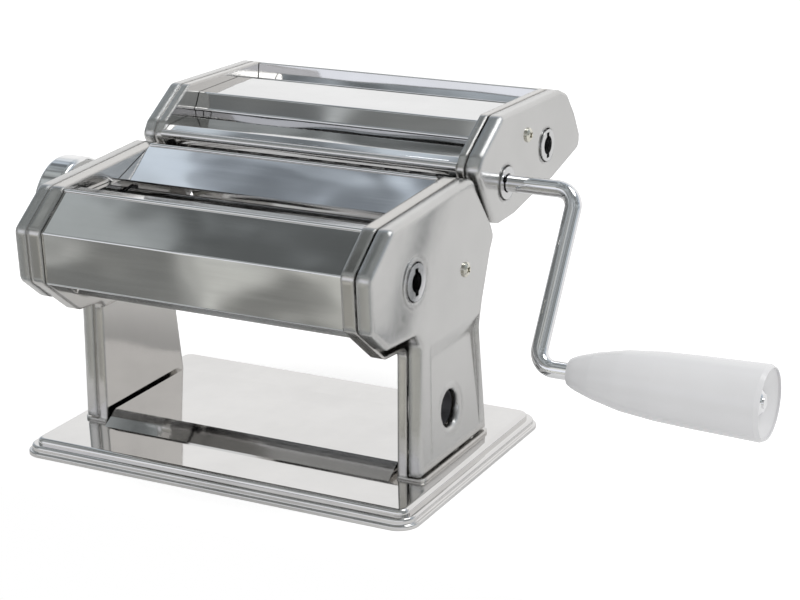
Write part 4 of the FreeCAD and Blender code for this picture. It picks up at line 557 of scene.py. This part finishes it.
in_front = unit_range(split.outputs["Y"], PANEL_OUTSIDE, PANEL_INSIDE)
above_foot = unit_range(split.outputs["Z"], PANEL_FOOT_LOW, PANEL_FOOT_HIGH)
below_top = unit_range(split.outputs["Z"], PANEL_TOP_HIGH, PANEL_TOP_LOW)
panel_share = joined("MULTIPLY", joined("MULTIPLY", above_foot, below_top), in_front)
with_panel = sky.new("ShaderNodeMix")
with_panel.data_type = "RGBA"
with_panel.inputs["B"].default_value = (*PANEL_LIGHT, 1.0)
sky_links.new(panel_share, with_panel.inputs["Factor"])
sky_links.new(patchy.outputs["Vector"], with_panel.inputs["A"])
print("panel light:", PANEL_LIGHT)

# %% [markdown]
# ## Which ray sees what
# Camera rays see plain white, which is the backdrop. Mirror rays see the room. Everything else
# is lit by even soft light, so that the colours come out about as they are written.

# %% Camera, mirror and soft light
WHITE = (1.0, 1.0, 1.0, 1.0)
SOFT_LIGHT, BACKDROP_LIGHT = 0.85, 1.0


def background(strength):
    """White background of a strength."""
    node = sky.new("ShaderNodeBackground")
    node.inputs["Color"].default_value = WHITE
    node.inputs["Strength"].default_value = strength
    return node


def chosen(share, first, second):
    """First shader, or the second where the share is one."""
    node = sky.new("ShaderNodeMixShader")
    sky_links.new(share, node.inputs["Fac"])
    sky_links.new(first, node.inputs[1])
    sky_links.new(second, node.inputs[2])
    return node.outputs["Shader"]


room = background(1.0)
sky_links.new(with_panel.outputs["Result"], room.inputs["Color"])
rays = sky.new("ShaderNodeLightPath")
mirrored = joined("MAXIMUM", rays.outputs["Is Glossy Ray"], rays.outputs["Is Transmission Ray"])
soft_or_room = chosen(mirrored, background(SOFT_LIGHT).outputs["Background"],
                      room.outputs["Background"])
all_rays = chosen(rays.outputs["Is Camera Ray"], soft_or_room,
                  background(BACKDROP_LIGHT).outputs["Background"])
world_out = sky.new("ShaderNodeOutputWorld")
sky_links.new(all_rays, world_out.inputs["Surface"])
print("soft light:", SOFT_LIGHT)

# %% [markdown]
# ## Floor
# A large white plane keeps the machine's shadow. It stops a little way in front of the machine:
# there the polished front shows the grey room and not the floor.

# %% Floor
FLOOR_HALF, FLOOR_FRONT = 3.0, -0.105
FLOOR_WHITE, FLOOR_ROUGH = 0.8, 0.9

floor_mesh = bpy.data.meshes.new("floor")
floor_mesh.from_pydata([(-FLOOR_HALF, FLOOR_FRONT, 0.0), (FLOOR_HALF, FLOOR_FRONT, 0.0),
                        (FLOOR_HALF, FLOOR_HALF, 0.0), (-FLOOR_HALF, FLOOR_HALF, 0.0)],
                       [], [(0, 1, 2, 3)])
floor = in_scene("floor", floor_mesh)
floor_paint, floor_nodes, floor_links, floor_shader = bare_material("White floor")
floor_shader.inputs["Base Color"].default_value = (FLOOR_WHITE, FLOOR_WHITE, FLOOR_WHITE, 1.0)
floor_shader.inputs["Roughness"].default_value = FLOOR_ROUGH
floor_shader.inputs["Specular IOR Level"].default_value = 0.0
floor_mesh.materials.append(floor_paint)
print("floor front edge:", FLOOR_FRONT, "m")

# %% [markdown]
# ## Floor glow
# Lit paint alone would be greyer than the white behind it. So the floor glows a little, more
# for camera rays than for mirror rays, and melts into the backdrop while its shadow stays.

# %% Floor glow
GLOW_SEEN, GLOW_MIRRORED = 0.55, 0.08
floor_rays = floor_nodes.new("ShaderNodeLightPath")


def ray_level(output_name, amount):
    """Glow that only one kind of ray sees."""
    node = floor_nodes.new("ShaderNodeMath")
    node.operation = "MULTIPLY"
    node.inputs[1].default_value = amount
    floor_links.new(floor_rays.outputs[output_name], node.inputs[0])
    return node.outputs["Value"]


glow_level = floor_nodes.new("ShaderNodeMath")
glow_level.operation = "MAXIMUM"
floor_links.new(ray_level("Is Camera Ray", GLOW_SEEN), glow_level.inputs[0])
floor_links.new(ray_level("Is Glossy Ray", GLOW_MIRRORED), glow_level.inputs[1])
glow = floor_nodes.new("ShaderNodeEmission")
floor_links.new(glow_level.outputs["Value"], glow.inputs["Strength"])
paint_and_glow = floor_nodes.new("ShaderNodeAddShader")
floor_links.new(floor_shader.outputs["BSDF"], paint_and_glow.inputs[0])
floor_links.new(glow.outputs["Emission"], paint_and_glow.inputs[1])
floor_links.new(paint_and_glow.outputs["Shader"], floor_nodes["Material Output"].inputs["Surface"])
print("floor glow:", GLOW_SEEN, "seen,", GLOW_MIRRORED, "mirrored")

# %% [markdown]
# ## Lamp
# The soft light has no direction, so it gives no highlights. One weak soft box does, high up on
# the crank side and a little behind. From there the camera sees it mirrored in rounds and edges
# such as the knob, the crank and the grip, and in none of the broad sheets.

# %% Soft box
MACHINE_MIDDLE = Vector((0.0, 0.0, 0.1))
BOX_PLACE, BOX_WIDTH, BOX_POWER = Vector((0.55, 0.35, 1.4)), 0.6, 4.0

box_lamp = bpy.data.lights.new("top box", "AREA")
box_lamp.shape = "SQUARE"
box_lamp.size = BOX_WIDTH
box_lamp.energy = BOX_POWER
soft_box = in_scene("top box", box_lamp)
soft_box.location = BOX_PLACE
soft_box.rotation_mode = "QUATERNION"
soft_box.rotation_quaternion = (MACHINE_MIDDLE - BOX_PLACE).to_track_quat("-Z", "Y")
print("soft box power:", BOX_POWER, "W")

# %% [markdown]
# ## Camera
# The place and the lens were solved from the machine's own edges and circles. The lens is long,
# so the rollers stay nearly parallel. The three turns give the way back from the machine to the
# camera first, and then what is right and up in the picture.

# %% Camera
CAMERA_PLACE = Vector((0.4761, -0.7841, 0.3741))
AZIMUTH, ELEVATION, ROLL = (math.radians(a) for a in (27.766, 18.422, -0.944))
LENS_PIXELS, PHOTO_WIDTH, SENSOR = 2058.1, 800, 36.0

back = Vector((math.sin(AZIMUTH) * math.cos(ELEVATION),
               -math.cos(AZIMUTH) * math.cos(ELEVATION), math.sin(ELEVATION)))
level_right = Vector((math.cos(AZIMUTH), math.sin(AZIMUTH), 0.0))
level_up = back.cross(level_right)
right = math.cos(ROLL) * level_right + math.sin(ROLL) * level_up
up = -math.sin(ROLL) * level_right + math.cos(ROLL) * level_up
turn = Matrix((right, up, back)).transposed().to_4x4()
camera_data = bpy.data.cameras.new("camera")
camera_data.sensor_width = SENSOR
camera_data.lens = LENS_PIXELS / PHOTO_WIDTH * SENSOR
camera = in_scene("camera", camera_data)
camera.matrix_world = Matrix.Translation(CAMERA_PLACE) @ turn
bpy.context.scene.camera = camera
print("lens:", round(camera_data.lens, 1), "mm")

# %% [markdown]
# ## Colour
# The plain view transform shows the colours as written.

# %% Finish
bpy.context.scene.view_settings.view_transform = "Standard"
